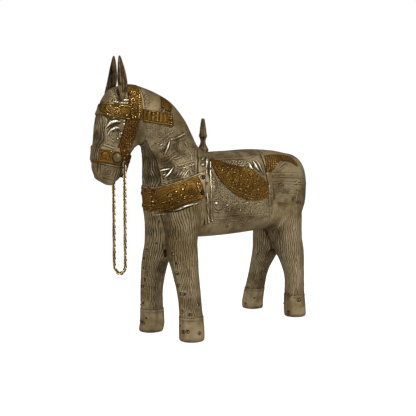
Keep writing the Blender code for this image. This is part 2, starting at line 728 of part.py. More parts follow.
# Sheets on the barrel
TURN = 2 * math.pi / AROUND_BODY
SEAT_EDGE = 2 * TURN
CLOTH_EDGE = 7 * TURN
RUMP_EDGE = 4 * TURN
SADDLE_END = 4.25
half_seam = SEAM / 2 / BODY_HALF


def barrel_sheet(name, u, low, high, cutters):
    """A sheet on the barrel between two angles, on the lattice of the wood's facets."""
    v = between(turns(AROUND_BODY), low, high)
    return finish_sheet(sheet_piece(name, barrel, u[:, None], v[None, :], WHITE_METAL), cutters)


saddle_u = between(BARREL_LINES, 0.0, SADDLE_END - 0.01)
croup_u = np.concatenate([between(BARREL_LINES, SADDLE_END + 0.01, barrel.last), barrel.last + CAP_STATIONS])
barrel_sheet("saddle_seat", saddle_u, -SEAT_EDGE + half_seam, SEAT_EDGE - half_seam, [CHEST_SKIN])
barrel_sheet("belly_sheet", saddle_u, CLOTH_EDGE + half_seam, 2 * math.pi - CLOTH_EDGE - half_seam,
             [CHEST_SKIN, *ALL_LEGS])
barrel_sheet("rump_sheet", croup_u, -RUMP_EDGE + half_seam, RUMP_EDGE - half_seam, [])
for side_name, side in SIDES.items():
    edges = sorted([side * (SEAT_EDGE + half_seam), side * (CLOTH_EDGE - half_seam)])
    barrel_sheet(f"saddle_cloth_{side_name}", saddle_u, *edges, [CHEST_SKIN, *FRONT_LEGS])
    edges = sorted([side * (RUMP_EDGE + half_seam), side * (math.pi - half_seam)])
    barrel_sheet(f"haunch_sheet_{side_name}", croup_u, *edges, [BREECH_SKIN, *REAR_LEGS])

# Sheets on the chest and neck, parted under the collar and under the neck strap
NECK_FRONT = math.radians(45)
BREAST_EDGE = math.radians(126)
BREAST_END_U = 4.95
NECK_FOOT_U = 5.0
neck_seam = SEAM / 2 / 0.02
STRAP_LINE = ((-0.1390, 0.2410), (-0.0960, 0.2360))
strap_rise = Vector((STRAP_LINE[0][1] - STRAP_LINE[1][1], 0.0, STRAP_LINE[1][0] - STRAP_LINE[0][0]))
strap_point = (STRAP_LINE[0][0], 0.0, STRAP_LINE[0][1])
ABOVE_STRAP = half_space("above_strap", strap_point, strap_rise, SEAM / 2)
BELOW_STRAP = half_space("below_strap", strap_point, -strap_rise, SEAM / 2)
HEAD_SIDE = half_space("head_side", head_point, head_normal, SEAM / 2)
NECK_SIDE = half_space("neck_side", head_point, -head_normal, SEAM / 2)


def neck_sheet(name, first, last, low, high, cutters):
    """A sheet on the chest or neck between two heights and two angles."""
    v = between(turns(AROUND_NECK), low, high)
    u = between(NECK_LINES, first, last)
    return finish_sheet(sheet_piece(name, neck, u[:, None], v[None, :], WHITE_METAL), cutters)


neck_sheet("breast_sheet", 0.4, BREAST_END_U, -BREAST_EDGE, BREAST_EDGE, [BARREL_SKIN, *FRONT_LEGS])
neck_sheet("neck_front_sheet", NECK_FOOT_U, HEAD_JOINT + 0.5,
           -NECK_FRONT + neck_seam, NECK_FRONT - neck_seam, [HEAD_SIDE])
for side_name, side in SIDES.items():
    edges = sorted([side * (NECK_FRONT + neck_seam), side * (math.pi - 2 * neck_seam)])
    neck_sheet(f"neck_sheet_{side_name}", NECK_FOOT_U, HEAD_JOINT + 0.5, *edges,
               [BARREL_SKIN, ABOVE_STRAP, HEAD_SIDE])
neck_sheet("crest_sheet", 9.0, HEAD_JOINT + 0.5, math.radians(60), math.radians(300),
           [BELOW_STRAP, HEAD_SIDE])

# Sheets on the head, parted under the browband and under the noseband
NOSE_EDGE = math.radians(36)
head_seam = SEAM / 2 / 0.009
BROW_POINT = (-0.1840, 0.0, 0.2475)
BROW_RISE = Vector((0.05, 0.0, 1.0))
MUZZLE_POINT = (-0.1920, 0.0, 0.2010)
MUZZLE_RISE = Vector((0.15, 0.0, 1.0))
ABOVE_BROW = half_space("above_brow", BROW_POINT, BROW_RISE, SEAM / 2)
BELOW_BROW = half_space("below_brow", BROW_POINT, -BROW_RISE, SEAM / 2)
ABOVE_MUZZLE = half_space("above_muzzle", MUZZLE_POINT, MUZZLE_RISE, SEAM / 2)
BELOW_MUZZLE = half_space("below_muzzle", MUZZLE_POINT, -MUZZLE_RISE, SEAM / 2)


def head_sheet(name, first, last, low, high, cutters):
    """A sheet on the head between two stations and two angles."""
    v = between(turns(AROUND_HEAD), low, high)
    u = between(HEAD_LINES, first, last)
    return finish_sheet(sheet_piece(name, head, u[:, None], v[None, :], WHITE_METAL), cutters)


head_sheet("poll_sheet", 0.5, 6.0, -math.radians(115), math.radians(115), [NECK_SIDE, BELOW_BROW])
head_sheet("nose_strip", 4.5, 9.0, -NOSE_EDGE + head_seam, NOSE_EDGE - head_seam, [ABOVE_BROW, BELOW_MUZZLE])
for side_name, side in SIDES.items():
    edges = sorted([side * (NOSE_EDGE + head_seam), side * (math.pi - head_seam)])
    head_sheet(f"face_sheet_{side_name}", 0.5, 9.0, *edges, [NECK_SIDE, ABOVE_BROW, BELOW_MUZZLE])
muzzle_u = np.concatenate([between(HEAD_LINES, 7.0, head.last), head.last + TIP_STATIONS])
muzzle_v = np.linspace(0, 2 * math.pi, AROUND_HEAD, endpoint=False)
muzzle = sheet_piece("muzzle_sheet", head, muzzle_u[:, None], muzzle_v[None, :], WHITE_METAL, wrap=True,
                     last_end=True)
finish_sheet(muzzle, [ABOVE_MUZZLE])


# Straps and plates of brass over the sheets
def strap_piece(name, loft, u, v, cutters=(), rise=0.0):
    """A brass sheet over the white sheet, on a grid of u and v."""
    return finish_sheet(sheet_piece(name, loft, u, v, BRASS, OVER_LIFT + rise, STRAP), cutters)


def side_plate(name, loft, upper, lower, side, counts, cutters=()):
    """A brass plate on one side, between an upper and a lower border seen from the side."""
    return finish_sheet(side_sheet(name, loft, upper, lower, side, counts, BRASS, OVER_LIFT, STRAP), cutters)


def height_on(line, x):
    """The height of a straight line, given by two points, at x."""
    (x0, z0), (x1, z1) = line
    return z0 + (z1 - z0) * (x - x0) / (x1 - x0)


def crossing(loft, v, line):
    """The u at which the skin line of angle v crosses a straight line seen from the side."""
    u = np.linspace(0, loft.last, 40 * loft.last + 1)
    points = loft.bare(u, np.full_like(u, v))
    off = points[:, 2] - height_on(line, points[:, 0])
    step = np.nonzero(off[:-1] * off[1:] <= 0)[0][-1]
    return np.interp(0.0, [off[step + 1], off[step]], [u[step + 1], u[step]])


def face_band(name, loft, face_turns, sides_x, upper, lower, rows, cutters=()):
    """A brass band across the face and along both cheeks, between two straight lines seen from the side."""
    high = [(crossing(loft, v, upper), v) for v in face_turns]
    low = [(crossing(loft, v, lower), v) for v in face_turns]
    for x in sides_x:
        high.append([float(k) for k in loft.place(x, height_on(upper, x))])
        low.append([float(k) for k in loft.place(x, height_on(lower, x))])
    high, low = np.array(high), np.array(low)
    u = blend(high[:, 0], low[:, 0], rows)
    v = blend(high[:, 1], low[:, 1], rows)
    u = np.concatenate([u[:0:-1], u])
    v = np.concatenate([-v[:0:-1], v])
    return strap_piece(name, loft, u, v, cutters, BAND_RISE)


COLLAR_TURN = math.radians(97)
collar_v = between(turns(AROUND_NECK), -COLLAR_TURN, COLLAR_TURN)
collar_u = np.array([COLLAR_LOW + 0.06, COLLAR_LOW + 1.0, COLLAR_HIGH - 0.04])
strap_piece("breast_collar", neck, collar_u[:, None], collar_v[None, :], [BARREL_SKIN, *FRONT_LEGS])

STRAP_HALF = 0.0066
CROWN_FRONT_X = -0.1540
CROWN_BACK_X = -0.1380
CROWN_TURN = math.radians(104)
CROWN_FOOT = (-0.1460, 0.0, 0.2362)
BAND_GAP = 0.0006
FACE_TURNS = np.radians([0, 22.5, 36, 45])
crown_v = between(turns(AROUND_HEAD), -CROWN_TURN, CROWN_TURN)


def top_at(loft, x):
    """The height of a loft's top line at x."""
    u = crossing(loft, 0.0, ((x, 0.0), (x + 1e-6, 1.0)))
    return float(loft.bare(np.array(u), 0.0)[2])


def u_at_x(loft, v, x):
    """The u at which the skin line of angle v reaches x."""
    u = np.linspace(0, 5, 201)
    return np.interp(-x, -loft.bare(u, np.full_like(u, v))[:, 0], u)


crown_low = np.array([u_at_x(head, v, CROWN_BACK_X) for v in crown_v])
crown_high = np.array([u_at_x(head, v, CROWN_FRONT_X - 2 * BAND_GAP) for v in crown_v])
CROWN_FRONT = half_space("crown_front", (CROWN_FRONT_X, 0, 0), (-1, 0, 0))
BELOW_CROWN = half_space("below_crown", CROWN_FOOT, (0, 0, -1), GAP / 2)
ABOVE_CHEEK = half_space("above_cheek", CROWN_FOOT, (0, 0, 1), GAP / 2)
strap_piece("crown_strap", head, blend(crown_low, crown_high, 4), np.repeat(crown_v[:, None], 4, 1),
            [BELOW_CROWN, CROWN_FRONT])
BROW_UPPER = ((-0.1850, 0.2518), (-0.1550, 0.2520))
BROW_LOWER = ((-0.1850, 0.2405), (-0.1550, 0.2362))
BROW_SIDES_X = (-0.1660, CROWN_FRONT_X - 2 * BAND_GAP)
face_band("browband", head, FACE_TURNS, BROW_SIDES_X, BROW_UPPER, BROW_LOWER, 4)
NOSE_BACK_X = -0.1640
NOSE_UPPER = ((-0.1905, 0.2080), (-0.1640, 0.2037))
NOSE_LOWER = ((-0.1927, 0.1945), (-0.1640, 0.1902))
NOSE_TURNS = np.radians([0, 22.5, 36, 45, 67.5, 90])
face_band("noseband", head, NOSE_TURNS, (NOSE_BACK_X,), NOSE_UPPER, NOSE_LOWER, 3)

FLAP_UPPER = [(-0.0450, 0.1890), (-0.0210, 0.1842), (-0.0080, 0.1828), (0.0070, 0.1840),
              (0.0210, 0.1770), (0.0350, 0.1640), (0.0445, 0.1520)]
FLAP_LOWER = [(-0.0460, 0.1790), (-0.0375, 0.1670), (-0.0210, 0.1540), (-0.0110, 0.1490), (0.0090, 0.1440),
              (0.0300, 0.1472), (0.0443, 0.1507)]
for side_name, side in SIDES.items():
    above = [(x, height_on(STRAP_LINE, x) + STRAP_HALF) for x in (CROWN_BACK_X + BAND_GAP, -0.1165, -0.0955)]
    below = [(x, height_on(STRAP_LINE, x) - STRAP_HALF) for x in (CROWN_BACK_X + BAND_GAP, -0.1165, -0.0955)]
    side_plate(f"neck_strap_{side_name}", neck, above, below, side, (6, 4))
    side_plate(f"cheek_strap_{side_name}", head, [(-0.1425, 0.2375), (-0.1585, 0.2375)],
               [(-0.1500, 0.2090), (-0.1675, 0.2090)], side, (3, 4), [ABOVE_CHEEK])
    side_plate(f"saddle_flap_{side_name}", barrel, FLAP_UPPER, FLAP_LOWER, side, (9, 5), [CHEST_SKIN])
    side_plate(f"croup_strap_{side_name}", barrel, [(0.0770, 0.1955), (0.1010, 0.1880)],
               [(0.0770, 0.1885), (0.1010, 0.1805)], side, (4, 2))

CREST_SPREAD = math.radians(50)
crest_v = between(turns(AROUND_NECK), math.pi - CREST_SPREAD, math.pi + CREST_SPREAD)
crest_fall = np.abs(crest_v - math.pi) / CREST_SPREAD
strap_piece("crest_patch", neck, blend(10.2 - 0.35 * crest_fall, 10.85 - 0.45 * crest_fall, 3),
            np.repeat(crest_v[:, None], 3, 1))
CROUP_SPREAD = math.radians(60)
croup_v = between(turns(AROUND_BODY), -CROUP_SPREAD, CROUP_SPREAD)
croup_fall = np.abs(croup_v) / CROUP_SPREAD
croup_low = SADDLE_END + 0.04 + 0.05 * croup_fall
croup_high = 4.93 - 0.35 * croup_fall
strap_piece("croup_plate", barrel, blend(croup_low, croup_high, 3), np.repeat(croup_v[:, None], 3, 1))


def turned(name, profile, steps, material, collection=None):
    """A turned solid about Z, from a profile that runs down its outer side from axis to axis."""
    mesh = bpy.data.meshes.new(name)
    edges = [(k, k + 1) for k in range(len(profile) - 1)]
    mesh.from_pydata([(r, 0.0, z) for r, z in profile], edges, [])
    thing = new_piece(name, mesh, material, collection)
    screw = thing.modifiers.new("turn", "SCREW")
    screw.axis = "Z"
    screw.steps = steps
    screw.render_steps = steps
    screw.use_merge_vertices = True
    screw.merge_threshold = 0.00001
    graph = bpy.context.evaluated_depsgraph_get()
    turned_mesh = bpy.data.meshes.new_from_object(thing.evaluated_get(graph))
    thing.modifiers.clear()
    thing.data = turned_mesh
    face_out(turned_mesh)
    return thing


def place_turned(thing, origin, axis):
    """Stand a turned solid at a point, with its Z along an axis."""
    turn = Vector((0, 0, 1)).rotation_difference(Vector(axis)).to_matrix().to_4x4()
    turn.translation = Vector(origin)
    thing.data.transform(turn)


# Ears: carved leaves, hollowed in front, each with a peg into the head
EAR_ROWS = [
    # share of the height, x from the ear's middle, y, half length, half thickness
    (0.000, -0.0040, 0.0128, 0.0008, 0.0008),
    (0.082, -0.0030, 0.0120, 0.0030, 0.0018),
    (0.212, -0.0015, 0.0102, 0.0050, 0.0026),
    (0.329, -0.0003, 0.0086, 0.0057, 0.0031),
    (0.518, 0.0002, 0.0072, 0.0052, 0.0029),
    (0.706, 0.0000, 0.0061, 0.0039, 0.0023),
    (0.871, -0.0003, 0.0051, 0.0023, 0.0016),
    (1.000, -0.0005, 0.0043, 0.0007, 0.0007),
]
EAR_SIDES = 8
EAR_PEG_Y = 0.0072
ear_foot = top_at(head, EAR_X) - EAR_SINK
ear_peg_top = ear_foot + 0.4 * EAR_HEIGHT
ear_peg_foot = ear_foot + 0.0095 - EAR_PEG_DEPTH


def leaf_rib(row, shift, length, side, y_out, thickness, power):
    """A level rib of an ear, or of the hollow in it."""
    share, x, y, reach, half = row
    z = ear_foot + share * EAR_HEIGHT
    middle = EAR_X + x + shift
    return (middle - length * reach, z, middle + length * reach, z, thickness * half, power, 0.0, 0.0,
            side * (y + y_out * half))


for side_name, side in SIDES.items():
    ribs = [leaf_rib(row, 0.0, 1.0, side, 0.0, 1.0, 2.2) for row in EAR_ROWS]
    ear_loft = Loft(ribs)
    ear = solid_loft(f"ear_{side_name}", ear_loft, np.arange(len(ribs)), EAR_SIDES, 0.0, WOOD)
    groove = Loft([leaf_rib(row, -0.0006, 0.36, side, 1.02, 0.42, 2.0) for row in EAR_ROWS[2:7]])
    hollow = hidden(solid_loft("ear_hollow", groove, np.arange(5), 8, 0.0, None, CUTTERS))
    boolean(ear, hollow, "DIFFERENCE")
    boolean(ear, HEAD_SKIN, "DIFFERENCE")
    keep_largest(ear)
    peg_top = (EAR_X, side * EAR_PEG_Y, ear_peg_top)
    peg_foot = (EAR_X, side * EAR_PEG_Y, ear_peg_foot)
    boolean(ear, cylinder("ear_peg", peg_foot, peg_top, EAR_PEG_RADIUS, 10, None, CUTTERS), "UNION")
    smooth(ear)
    for thing in (head_block, bpy.data.objects["poll_sheet"]):
        drill(thing, (peg_foot[0], peg_foot[1], peg_foot[2] - GAP), (peg_top[0], peg_top[1], peg_top[2] + 0.01),
              EAR_PEG_RADIUS + GAP, 10)

# Finial: a turned pommel with a peg through the seat into the body
finial_seat = top_at(barrel, FINIAL_X)
finial_top = finial_seat + FINIAL_HEIGHT
FINIAL_PROFILE = [
    (0.0, finial_top),
    (0.75 * FINIAL_TIP_RADIUS, finial_top - 0.0002),
    (FINIAL_TIP_RADIUS, finial_top - 0.0012),
    (FINIAL_BULB_RADIUS - 0.0003, finial_top - 0.0180),
    (FINIAL_BULB_RADIUS, finial_top - 0.0198),
    (FINIAL_BULB_RADIUS - 0.0005, finial_top - 0.0212),
    (FINIAL_NECK_RADIUS + 0.0002, finial_top - 0.0235),
    (FINIAL_NECK_RADIUS, finial_top - 0.0255),
    (FINIAL_NECK_RADIUS + 0.0007, finial_top - 0.0290),
    (FINIAL_FOOT_RADIUS - 0.0006, finial_top - 0.0325),
    (FINIAL_FOOT_RADIUS, finial_top - 0.0345),
    (FINIAL_FOOT_RADIUS, finial_seat - 0.0020),
    (0.0, finial_seat - 0.0020),
]
finial = turned("finial", FINIAL_PROFILE, 12, WOOD)
place_turned(finial, (FINIAL_X, 0, 0), (0, 0, 1))
boolean(finial, BARREL_SKIN, "DIFFERENCE")
boolean(finial, CHEST_SKIN, "DIFFERENCE")
keep_largest(finial)
peg_foot = (FINIAL_X, 0, finial_seat - FINIAL_PEG_DEPTH)
peg_top = (FINIAL_X, 0, finial_seat + 0.0040)
boolean(finial, cylinder("finial_peg", peg_foot, peg_top, FINIAL_PEG_RADIUS, 12, None, CUTTERS), "UNION")
smooth(finial)
for thing in (body, bpy.data.objects["saddle_seat"]):
    drill(thing, (FINIAL_X, 0, peg_foot[2] - GAP), (FINIAL_X, 0, peg_top[2]), FINIAL_PEG_RADIUS + GAP, 12)

# Tail: carved to hug the rump, with a peg into the body
TAIL_RIBS = [
    # front x, z, back x, z, half width, squareness
    (0.1160, 0.1800, 0.1235, 0.1815, 0.0028, 2.2, 0.0, 0.0),
    (0.1190, 0.1700, 0.1325, 0.1720, 0.0042, 2.2, 0.0, 0.0),
    (0.1220, 0.1560, 0.1362, 0.1560, 0.0050, 2.2, 0.0, 0.0),
    (0.1210, 0.1400, 0.1360, 0.1400, 0.0052, 2.2, 0.0, 0.0),
    (0.1190, 0.1240, 0.1330, 0.1230, 0.0048, 2.2, 0.0, 0.0),
    (0.1180, 0.1090, 0.1290, 0.1080, 0.0038, 2.2, 0.0, 0.0),
    (0.1190, 0.0990, 0.1245, 0.0985, 0.0018, 2.2, 0.0, 0.0),
]
tail_loft = Loft(TAIL_RIBS)
tail = solid_loft("tail", tail_loft, np.arange(len(TAIL_RIBS)), 12, 0.0, WOOD)
boolean(tail, BARREL_SKIN, "DIFFERENCE")
keep_largest(tail)
tail_root = Vector((0.1335, 0.0, 0.1560))
tail_inward = Vector((-1.0, 0.0, 0.0))
tail_end = tail_root + tail_inward * (TAIL_PEG_DEPTH + 0.0050)
boolean(tail, cylinder("tail_peg", tail_end, tail_root, TAIL_PEG_RADIUS, 12, None, CUTTERS), "UNION")
smooth(tail)
for thing in (body, bpy.data.objects["rump_sheet"]):
    drill(thing, tail_end + tail_inward * GAP, tail_root, TAIL_PEG_RADIUS + GAP, 12)

# Domed bosses on the noseband
for side_name, side in SIDES.items():
    boss_u, boss_v = head.place(BOSS_X, BOSS_Z)
    boss_y = abs(float(head.point(boss_u, boss_v, OVER_LIFT)[1]))
    dome = [(BOSS_RADIUS * math.sin(a), BOSS_HEIGHT * math.cos(a)) for a in np.radians([0, 22, 44, 66, 86])]
    dome[0] = (0.0, BOSS_HEIGHT)
    boss = turned(f"noseband_boss_{side_name}", [*dome, (BOSS_RADIUS, -0.0015), (0.0, -0.0015)], 12, BRASS)
    place_turned(boss, (BOSS_X, side * boss_y, BOSS_Z), (0, side, 0))
    boolean(boss, HEAD_OVER, "DIFFERENCE")
    keep_largest(boss)
    smooth(boss)

# Rein: two pins in the jaw and a chain that hangs from them
pin_u, pin_v = head.place(REIN_X, REIN_Z)
pin_skin = abs(float(head.point(pin_u, pin_v)[1]))
LINK_INNER = LINK_PITCH + LINK_PLAY
PIN_HEAD_Y = STRAND_Y + LINK_WIRE / 2 + GAP
for side_name, side in SIDES.items():
    inner_y = pin_skin - PIN_DEPTH
    profile = [(0.0, PIN_HEAD_Y + 0.0010), (0.6 * PIN_HEAD_RADIUS, PIN_HEAD_Y + 0.0008),
               (PIN_HEAD_RADIUS, PIN_HEAD_Y + 0.0003), (PIN_HEAD_RADIUS, PIN_HEAD_Y), (PIN_RADIUS, PIN_HEAD_Y),
               (PIN_RADIUS, inner_y), (0.0, inner_y)]
    pin = turned(f"rein_pin_{side_name}", profile, 10, IRON)
    place_turned(pin, (REIN_X, 0, REIN_Z), (0, side, 0))
    smooth(pin)
    for thing in (head_block, muzzle):
        drill(thing, (REIN_X, side * (inner_y - GAP), REIN_Z), (REIN_X, side * (PIN_HEAD_Y + 0.01), REIN_Z),
              PIN_RADIUS + GAP, 10)

REIN_TOP_Z = REIN_Z + PIN_RADIUS + GAP - LINK_INNER / 2
REIN_BOTTOM_Z = REIN_Z - REIN_DROP
STRAND = REIN_TOP_Z - REIN_BOTTOM_Z - STRAND_Y
REIN_LENGTH = 2 * STRAND + math.pi * STRAND_Y


def rein_point(s):
    """The point and the direction of the rein's centre line at a distance from its left end."""
    if s < STRAND:
        return Vector((REIN_X, -STRAND_Y, REIN_TOP_Z - s)), Vector((0, 0, -1))
    if s > STRAND + math.pi * STRAND_Y:
        return Vector((REIN_X, STRAND_Y, REIN_TOP_Z - (REIN_LENGTH - s))), Vector((0, 0, 1))
    a = (s - STRAND) / STRAND_Y
    centre = Vector((REIN_X, 0, REIN_BOTTOM_Z + STRAND_Y))
    return (centre + STRAND_Y * Vector((0, -math.cos(a), -math.sin(a))),
            Vector((0, math.sin(a), -math.cos(a))))


LINK_SEGMENTS = 6
LINK_SIDES = 3


def add_link(work, centre, forward, across):
    """A link of round wire in a plane. Gives the inner faces of its back end and its front end."""
    third = forward.cross(across)
    run = (LINK_INNER + 2 * LINK_WIRE - LINK_WIDTH) / 2
    bend = (LINK_WIDTH - LINK_WIRE) / 2
    rings = []
    for k in range(LINK_SEGMENTS):
        a = 2 * math.pi * k / LINK_SEGMENTS
        out = across * math.cos(a) + forward * math.sin(a)
        middle = centre + bend * out / math.cos(math.pi / LINK_SEGMENTS)
        if abs(math.sin(a)) > 0.1:
            middle = middle + forward * math.copysign(run, math.sin(a))
        ring = []
        for j in range(LINK_SIDES):
            b = math.pi + 2 * math.pi * (j + 0.5) / LINK_SIDES
            ring.append(work.verts.new(middle + LINK_WIRE / 2 * (out * math.cos(b) + third * math.sin(b))))
        rings.append(ring)
    ends = {}
    for k in range(LINK_SEGMENTS):
        one, two = rings[k], rings[(k + 1) % LINK_SEGMENTS]
        for j in range(LINK_SIDES):
            i = (j + 1) % LINK_SIDES
            face = work.faces.new((one[j], one[i], two[i], two[j]))
            if j == LINK_SIDES - 1 and k in (1, 4):
                ends[k] = face
    return ends[4], ends[1]


def join_faces(work, one, two, forward, across):
    """Replace two facing quads by a short neck between them."""
    third = forward.cross(across)
    loops = []
    for face in (one, two):
        middle = face.calc_center_median()
        turn = {v: math.atan2((v.co - middle).dot(third), (v.co - middle).dot(across)) for v in face.verts}
        loops.append(sorted(face.verts, key=turn.get))
    bmesh.ops.delete(work, geom=[one, two], context="FACES_ONLY")
    first, second = loops
    for k in range(4):
        i = (k + 1) % 4
        work.faces.new((first[k], first[i], second[i], second[k]))


count = 2 * round(REIN_LENGTH / LINK_PITCH / 2) + 1
pitch = REIN_LENGTH / (count - 1)
work = bmesh.new()
last_face = None
for k in range(count):
    centre, forward = rein_point(k * pitch)
    across = Vector((1, 0, 0)) if k % 2 == 0 else Vector((1, 0, 0)).cross(forward)
    back_face, front_face = add_link(work, centre, forward, across)
    if last_face is not None:
        join_faces(work, last_face, back_face, forward, across)
    last_face = front_face
bmesh.ops.recalc_face_normals(work, faces=work.faces)
rein_mesh = bpy.data.meshes.new("rein_chain")
work.to_mesh(rein_mesh)
work.free()
pivot = Vector((REIN_X, 0.0, REIN_Z))
rein_mesh.transform(Matrix.Translation(-pivot))
rein = new_piece("rein_chain", rein_mesh, WHITE_METAL)
rein.location = pivot

# Give the horse its length, and stand it with the middle of it over the origin
fixed = [thing for thing in HORSE.objects if thing is not rein]
reach = [corner.co.x for thing in fixed for corner in thing.data.vertices]
middle = (min(reach) + max(reach)) / 2
stretch = Matrix.Scale(LENGTH / (max(reach) - min(reach)), 4, (1, 0, 0))
for thing in fixed:
    thing.data.transform(stretch @ Matrix.Translation((-middle, 0, 0)))
rein_mesh.transform(stretch)
rein.location = stretch @ (pivot - Vector((middle, 0, 0)))
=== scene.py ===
"""The carved horse figure in its nailed sheet metal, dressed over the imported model.

The horse faces -X, its left side is towards -Y, and it stands on Z = 0. Lengths are in metres, and the
relief of the sheets is in millimetres. Where a drawing on the sheets is given in image units, these are
the pixels of the 416 by 416 view of the scene's camera.
"""

import math

import bpy
import numpy as np
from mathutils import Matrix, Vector


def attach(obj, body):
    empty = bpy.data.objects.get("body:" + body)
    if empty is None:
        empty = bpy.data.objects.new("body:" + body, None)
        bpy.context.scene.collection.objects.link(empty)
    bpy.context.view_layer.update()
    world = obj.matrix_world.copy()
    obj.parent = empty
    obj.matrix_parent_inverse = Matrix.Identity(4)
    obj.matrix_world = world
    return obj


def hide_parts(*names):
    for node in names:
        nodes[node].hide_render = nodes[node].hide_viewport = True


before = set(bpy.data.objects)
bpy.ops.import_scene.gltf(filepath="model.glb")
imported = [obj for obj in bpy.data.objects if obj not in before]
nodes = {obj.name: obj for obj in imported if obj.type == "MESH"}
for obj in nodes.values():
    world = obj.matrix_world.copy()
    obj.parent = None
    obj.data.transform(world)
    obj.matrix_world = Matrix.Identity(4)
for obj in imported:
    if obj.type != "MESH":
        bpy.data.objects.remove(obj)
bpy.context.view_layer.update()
scene = bpy.context.scene

DEGREE = math.pi / 180
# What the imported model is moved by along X, so that the middle of its length lies over the origin
SHIFT = 0.0292725

# Camera
PITCH = math.radians(5.52)
EYE = np.array([-0.7297275, -0.706, 0.235])
AHEAD = np.array([0.719 * math.cos(PITCH), 0.695 * math.cos(PITCH), -math.sin(PITCH)])
AHEAD /= np.linalg.norm(AHEAD)
RIGHT = np.array([0.695, -0.719, 0.0]) / math.hypot(0.695, 0.719)
UPWARD = np.cross(RIGHT, AHEAD)
FOCAL = 900.0
HALF_VIEW = 208.0

camera_data = bpy.data.cameras.new("camera")
camera_data.sensor_width = 36.0
camera_data.lens = FOCAL / (2 * HALF_VIEW) * 36.0
camera_data.clip_start = 0.01
camera_data.clip_end = 20.0
camera = bpy.data.objects.new("camera", camera_data)
scene.collection.objects.link(camera)
camera.location = EYE
camera.rotation_euler = (math.pi / 2 - PITCH, 0.0, math.atan2(-AHEAD[0], AHEAD[1]))
scene.camera = camera


def image_of(points):
    """Image units of points: the distances right and up from the view line, over the distance ahead."""
    off = points - EYE
    depth = off @ AHEAD
    x = HALF_VIEW + FOCAL * (off @ RIGHT) / depth
    y = HALF_VIEW - FOCAL * (off @ UPWARD) / depth
    return x, y


def mirrored(points):
    """The points with Y on the left side, where the drawings are given."""
    return np.stack([points[..., 0], -np.abs(points[..., 1]), points[..., 2]], -1)


# Patterns on whole arrays
def cell_value(i, j, seed):
    """A fixed value from 0 to 1 for each whole pair i, j: the pair is hashed with large primes."""
    n = (i * 73856093) ^ (j * 19349663) ^ (seed * 83492791)
    n = n & 0x7FFFFFFF
    n = ((n ^ (n >> 13)) * 1274126177) & 0x7FFFFFFF
    return ((n >> 4) & 0xFFFF) / 65535.0


def clouds(a, b, seed=1):
    """Smooth noise from 0 to 1: the four nearest cell values mixed by smooth steps."""
    i, j = np.floor(a).astype(np.int64), np.floor(b).astype(np.int64)
    x, y = a - i, b - j
    x, y = x * x * (3 - 2 * x), y * y * (3 - 2 * y)
    low = cell_value(i, j, seed) * (1 - x) + cell_value(i + 1, j, seed) * x
    high = cell_value(i, j + 1, seed) * (1 - x) + cell_value(i + 1, j + 1, seed) * x
    return low * (1 - y) + high * y


def ease(x, low, high):
    """0 below low, 1 above high, and the smooth step 3t^2 - 2t^3 between them."""
    t = np.clip((x - low) / (high - low), 0, 1)
    return t * t * (3 - 2 * t)


def hammered(s, t, pitch, seed, sharp=0.7):
    """Hammered streaks from 0 to 1 that run along t.

    A cosine of the pitch across s, pushed aside by two noises and broken up along each streak.
    """
    wide = 1.5 * pitch * (clouds(s / 11, t / 17, seed) - 0.5)
    aside = wide + 0.7 * pitch * (clouds(s / 3.1, t / 6, seed + 1) - 0.5)
    phase = (s + aside) / pitch
    wave = (0.5 + 0.5 * np.cos(2 * math.pi * phase)) ** sharp
    broken = 0.45 + 0.55 * ease(clouds(np.floor(phase + 0.5) * 7.3, t / 5.5, seed + 2), 0.2, 0.6)
    return wave * broken


